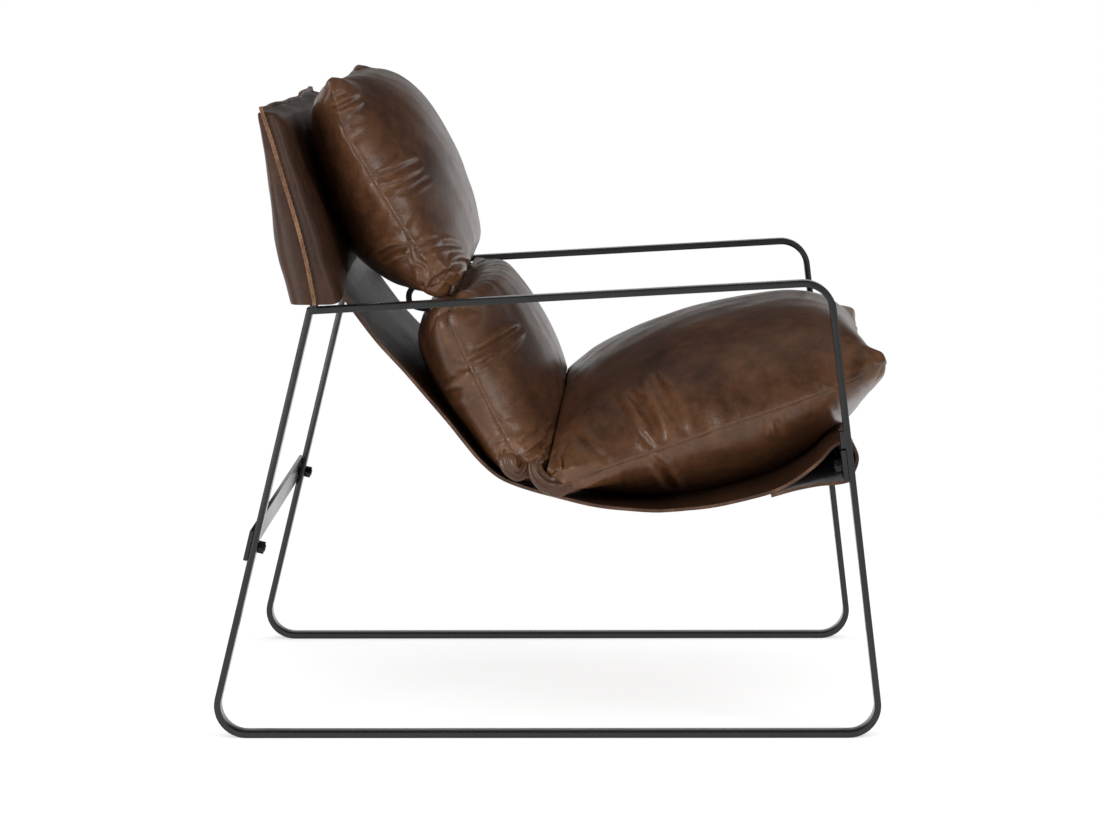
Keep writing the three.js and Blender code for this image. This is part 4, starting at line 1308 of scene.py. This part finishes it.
GRID_ROWS, GRID_COLUMNS = 96, 120
for number, (name, form) in enumerate(cushion_forms.items()):
    piece = cushion_mesh(name, form, GRID_ROWS, GRID_COLUMNS)
    fill(piece, pressure=2, growth=0.02, reach=0.05, cap=7 * MM, seed=31 + number)
    bpy.ops.object.select_all(action="DESELECT")
    bpy.context.view_layer.objects.active = piece
    piece.select_set(True)
    finer = piece.modifiers.new("finer", "SUBSURF")
    finer.levels = finer.render_levels = 1
    bpy.ops.object.modifier_apply(modifier=finer.name)
    points, normals = points_of(piece.data), read(piece.data.vertex_normals, "vector")
    loop, runs, total = seam_loop(piece, 1600)
    for corner, shift, radius in ears[name]:
        near = np.exp(-(beyond(points, corner, radius) ** 2))
        points += near[:, None] * (room(*shift) - room(0, 0, 0))
    distance, run = beside_seam(points, loop, runs)
    corner_runs = [runs[np.argmax(loop @ (x, 0, z))] for x in (-1, 1) for z in (-0.8, 0.8)]
    rear_face = values_of(piece.data, "rear_face")
    depth = puckers(distance, run, total, corner_runs, rear_face, form["puckered"], 71 + number)
    depth += pressed_in(name, points, [tuple(f.vertices) for f in piece.data.polygons])
    sewn = np.ones(len(points))
    for corner, bulge, radius in plump[name]:
        depth += bulge * MM * np.exp(-(beyond(points, corner, radius) ** 2)) * smooth_step(distance, 0, 0.014)
        if bulge > SEWN_BULGE:
            sewn *= smooth_step(beyond(points, corner, 1), 40, 60)
    depth -= 1.5 * MM * np.exp(-((distance / 0.0022) ** 2)) * sewn
    depth += 0.5 * MM * waves(points, 0.07, 91 + number)
    put_points(piece.data, hold_back(name, points + normals * depth[:, None]))
    # gathered also steers the painted shade in the seam's groove, and the gathers' relief
    gathered = np.exp(-((distance / 0.035) ** 2))
    mark(piece, "gathered", gathered * sewn)
    mark(piece, "pull", 0.5 * gathered + np.clip(np.abs(depth) / (1.5 * MM), 0, 1) * 0.5)
    layer = piece.data.attributes.new("gather_map", "FLOAT_VECTOR", "POINT")
    layer.data.foreach_set("vector", np.stack([run, distance, 0 * run], -1).reshape(-1).astype(np.float32))
    piece.data.materials.append(cushion_hide)
    piece.data.polygons.foreach_set("use_smooth", [True] * len(piece.data.polygons))
    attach(piece, "root")
    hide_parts(name)
    print(piece.name, len(piece.data.polygons), "faces")

# %% [markdown]
# ### Rolled corners
#
# At the two low corners beside the sling the spare hide is rolled up and turned back on itself, like the
# ear of a parcel. Each roll is a tapering tube along a hooked line, half sunk into its cushion, with three
# grooves that wander along it. The line is drawn over the photograph's frame as the creases are, but lands
# on an upright plane just inside the cushions' ends.

# %% Rolls of hide at the corners
GROOVES = (1.25, 0.5, 0.3), (2.35, 0.32, 0.26), (0.2, 0.3, 0.3)  # angle, depth as a share, width


def rolled_corner(name, spots, across, radii, seed):
    """A roll whose line stands on the plane at across millimetres, seen at these spots of the frame."""
    lines = [sight(*spot) for spot in spots]
    line = np.array([eye + to * ((-abs(across) * MM - eye.x) / to.x) for to in lines])
    outward = math.copysign(1.0, across)
    dense, run = even_line(line * (-outward, 1, 1), 0.0012)
    share = run / run[-1]
    rounding = np.sin(math.pi * share)
    dense[:, 0] += outward * (0.011 * rounding**0.8 - 0.009)
    forward = directions(dense)
    aside = np.cross(forward, (outward, 0, 0))
    aside /= np.linalg.norm(aside, axis=1, keepdims=True)
    up = np.cross(aside, forward)
    ring = np.linspace(-math.pi, math.pi, 41)[None, :-1]
    closing = np.minimum(1, np.sqrt(np.clip(np.minimum(share, 1 - share) / 0.06, 0.02, 1)))
    girth = np.interp(share, np.linspace(0, 1, len(radii)), radii) * MM * closing
    pleats = 1 + 0.06 * np.sin(3 * ring + 5 * share[:, None] + seed)
    pleats = pleats + 0.12 * waves(dense, 0.022, seed)[:, None]
    for angle, deep, wide in GROOVES:
        wander = ring - (angle + 0.45 * np.sin(2.6 * share + seed))[:, None]
        pleats -= deep * rounding[:, None] ** 0.6 * np.exp(-((wander / wide) ** 2))
    around = np.cos(ring)[..., None] * aside[:, None] + 0.7 * np.sin(ring)[..., None] * up[:, None]
    points = dense[:, None] + (girth[:, None] * pleats)[..., None] * around
    return closed_piece(name, points, tube_faces(*points.shape[:2]), [cushion_hide])


SEAT_ROLL = [(583, 470), (572, 480), (560, 485), (547, 483), (537, 474), (535, 463), (543, 455)]
LUMBAR_ROLL = [(506, 448), (507, 459), (511, 469), (518, 474), (525, 470), (529, 461)]
for side, sign in (("right", -1), ("left", 1)):
    for name, spots, across, radii, seed in (
        ("seat_corner_roll_", SEAT_ROLL, 288, [10, 15, 14, 12, 11, 11, 9], 3),
        ("lumbar_corner_roll_", LUMBAR_ROLL, 286, [10, 12, 11, 10, 9, 8], 4),
    ):
        piece = rolled_corner(name + side, spots, sign * across, radii, seed)
        mark(piece, "pull", 0.12)
        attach(piece, "root")

# %% [markdown]
# ## Sewn folds and ties
#
# Where two cushions are joined, the spare hide between their seams is gathered into a soft roll. It is
# drawn as a flattened tube across the chair whose girth swells and shrinks with the gathers, and it closes
# at both ends. Each elastic tie between headrest and lumbar cushion is a flat strap that bows out to the
# rear.

# %% Gathered roll between two cushions
def gathered_roll(name, upper, lower, thick, half, seed):
    """A closed tube across the chair between two seam places of the side drawing, in millimetres."""
    upper, lower = np.array(upper), np.array(lower)
    tall = (upper - lower) / 2
    square = square_to(tall) / np.linalg.norm(tall)
    stations, around = np.linspace(-1, 1, 241), np.linspace(0, 2 * math.pi, 28, endpoint=False)
    spots = room(0, 0, half * stations)
    closing = np.maximum(1 - np.abs(stations) ** 14, 0.02) ** 0.5
    girth = closing * (1 + 0.16 * waves(spots, 0.011, seed) + 0.1 * waves(spots, 0.05, seed + 1))
    sway = 1.6 * waves(spots, 0.045, seed + 2)
    ring = np.cos(around)[None, :, None] * tall + np.sin(around)[None, :, None] * square * thick / 2
    side = (upper + lower) / 2 + ring * girth[:, None, None] + sway[:, None, None] * square
    points = room(side[..., 0], side[..., 1], half * stations[:, None])
    return closed_piece(name, points, tube_faces(*points.shape[:2]), [cushion_hide])


for node, upper, lower, thick, half in (
    ("upper_fold", (303, 552), (303, 536), 8, 262),
    ("lower_fold", (409, 321), (431, 305), 8, 280),
):
    roll = gathered_roll(node + "_roll", upper, lower, thick, half, 61)
    mark(roll, "pull", 0.4)
    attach(roll, "root")
    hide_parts(node)

# %% Ties between headrest and lumbar cushion
TIE_WIDE, TIE_THICK = 7.6, 2.4
tie_route = [
    (262, 547), (252, 542), (246.5, 535), (245.5, 527), (248, 520), (256, 516), (267, 514), (279, 514),
]
for side in ("left", "right"):
    low, high = (corner.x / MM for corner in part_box("cushion_tie_" + side))
    route, _ = even_line(np.array(tie_route), 2)
    step = directions(route)
    ring = np.linspace(0, 2 * math.pi, 17)[None, :-1]
    flat = TIE_WIDE / 2 * np.sin(ring)
    points = room(
        route[:, :1] + flat * step[:, 1:],
        route[:, 1:] - flat * step[:, :1],
        (low + high) / 2 + TIE_THICK / 2 * np.cos(ring),
    )
    faces = tube_faces(*points.shape[:2])
    caps = (len(faces) - 2, len(faces) - 1)
    tie = closed_piece("elastic_tie_" + side, points, faces, [elastic], flat=caps)
    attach(tie, "root")
    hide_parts("cushion_tie_" + side)

# %% [markdown]
# ## Stitching
#
# Heavy waxed thread holds the saddle leather: rows run round the pocket's flange and across the sling's
# flap. One stitch is a small spindle that dips into the hide at both ends. A row is one piece with many of
# them, laid along a line of the sheet that it sews.

# %% Rows of stitches
STITCH_THICK, PITCH_STEPS, STITCH_STEPS = 0.9, 8, 5
# Share of a stitch's length, its girth there and its rise
SPINDLE = (0, 0.35, -0.5), (0.2, 0.9, 0.25), (0.5, 1, 0.4), (0.8, 0.9, 0.25), (1, 0.35, -0.5)


def stitches(name, line, outward, pitch):
    """One piece of spindles along a line in metres, lying on the side that outward points to."""
    dense, _ = even_line(line, pitch / PITCH_STEPS * MM, 1)
    up = outward / np.linalg.norm(outward)
    ring = np.linspace(0, 2 * math.pi, 7)[:-1]
    points, faces = [], []
    for start in range(1, len(dense) - PITCH_STEPS + 1, PITCH_STEPS):
        a, b = dense[start], dense[start + STITCH_STEPS]
        aside = np.cross((b - a) / np.linalg.norm(b - a), up)
        faces += tube_faces(len(SPINDLE), len(ring), len(points))
        for share, girth, rise in SPINDLE:
            middle = a + (b - a) * share + up * rise * STITCH_THICK * MM
            for angle in ring:
                around = aside * math.cos(angle) + up * math.sin(angle)
                points.append(middle + around * girth * STITCH_THICK / 2 * MM)
    piece = closed_piece(name, points, faces, [thread])
    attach(piece, "root")
    return piece


# %% Stitches round the pocket
inset = (POCKET_HALF + FLANGE - 3.6) / (POCKET_HALF + FLANGE)
for front, word in ((True, "front"), (False, "back")):
    away = PANEL_THICK + 0.1
    outward = room(1 if front else -1, 0, 0) - room(0, 0, 0)
    for side, label in ((-1, "right"), (1, "left")):
        line = pocket_grid(front, away, np.linspace(0.03, 0.985, 120), np.array([side * inset]))[:, 0]
        stitches(f"pocket_{word}_stitches_{label}", line, outward, 7)
    line = pocket_grid(front, away, np.array([0.986]), np.linspace(-0.985, 0.985, 300))[0]
    stitches(f"pocket_{word}_stitches_top", line, outward, 7)

# %% Stitches across the flap
centre = SLING_COLUMNS // 2
for number, before_end in enumerate((6, 13)):
    row = int(np.argmin(np.abs(sling_run - (sling_run[-1] - before_end))))
    faces_of_row = grain_side[row], flesh_side[row]
    line = min(faces_of_row, key=lambda points: points[centre, 2])
    outward = line[centre] - (grain_side[row, centre] + flesh_side[row, centre]) / 2
    made = stitches(f"flap_stitches_{number}", line[1:-1], outward, 7.5)
    print(made.name, len(made.data.polygons), "faces")
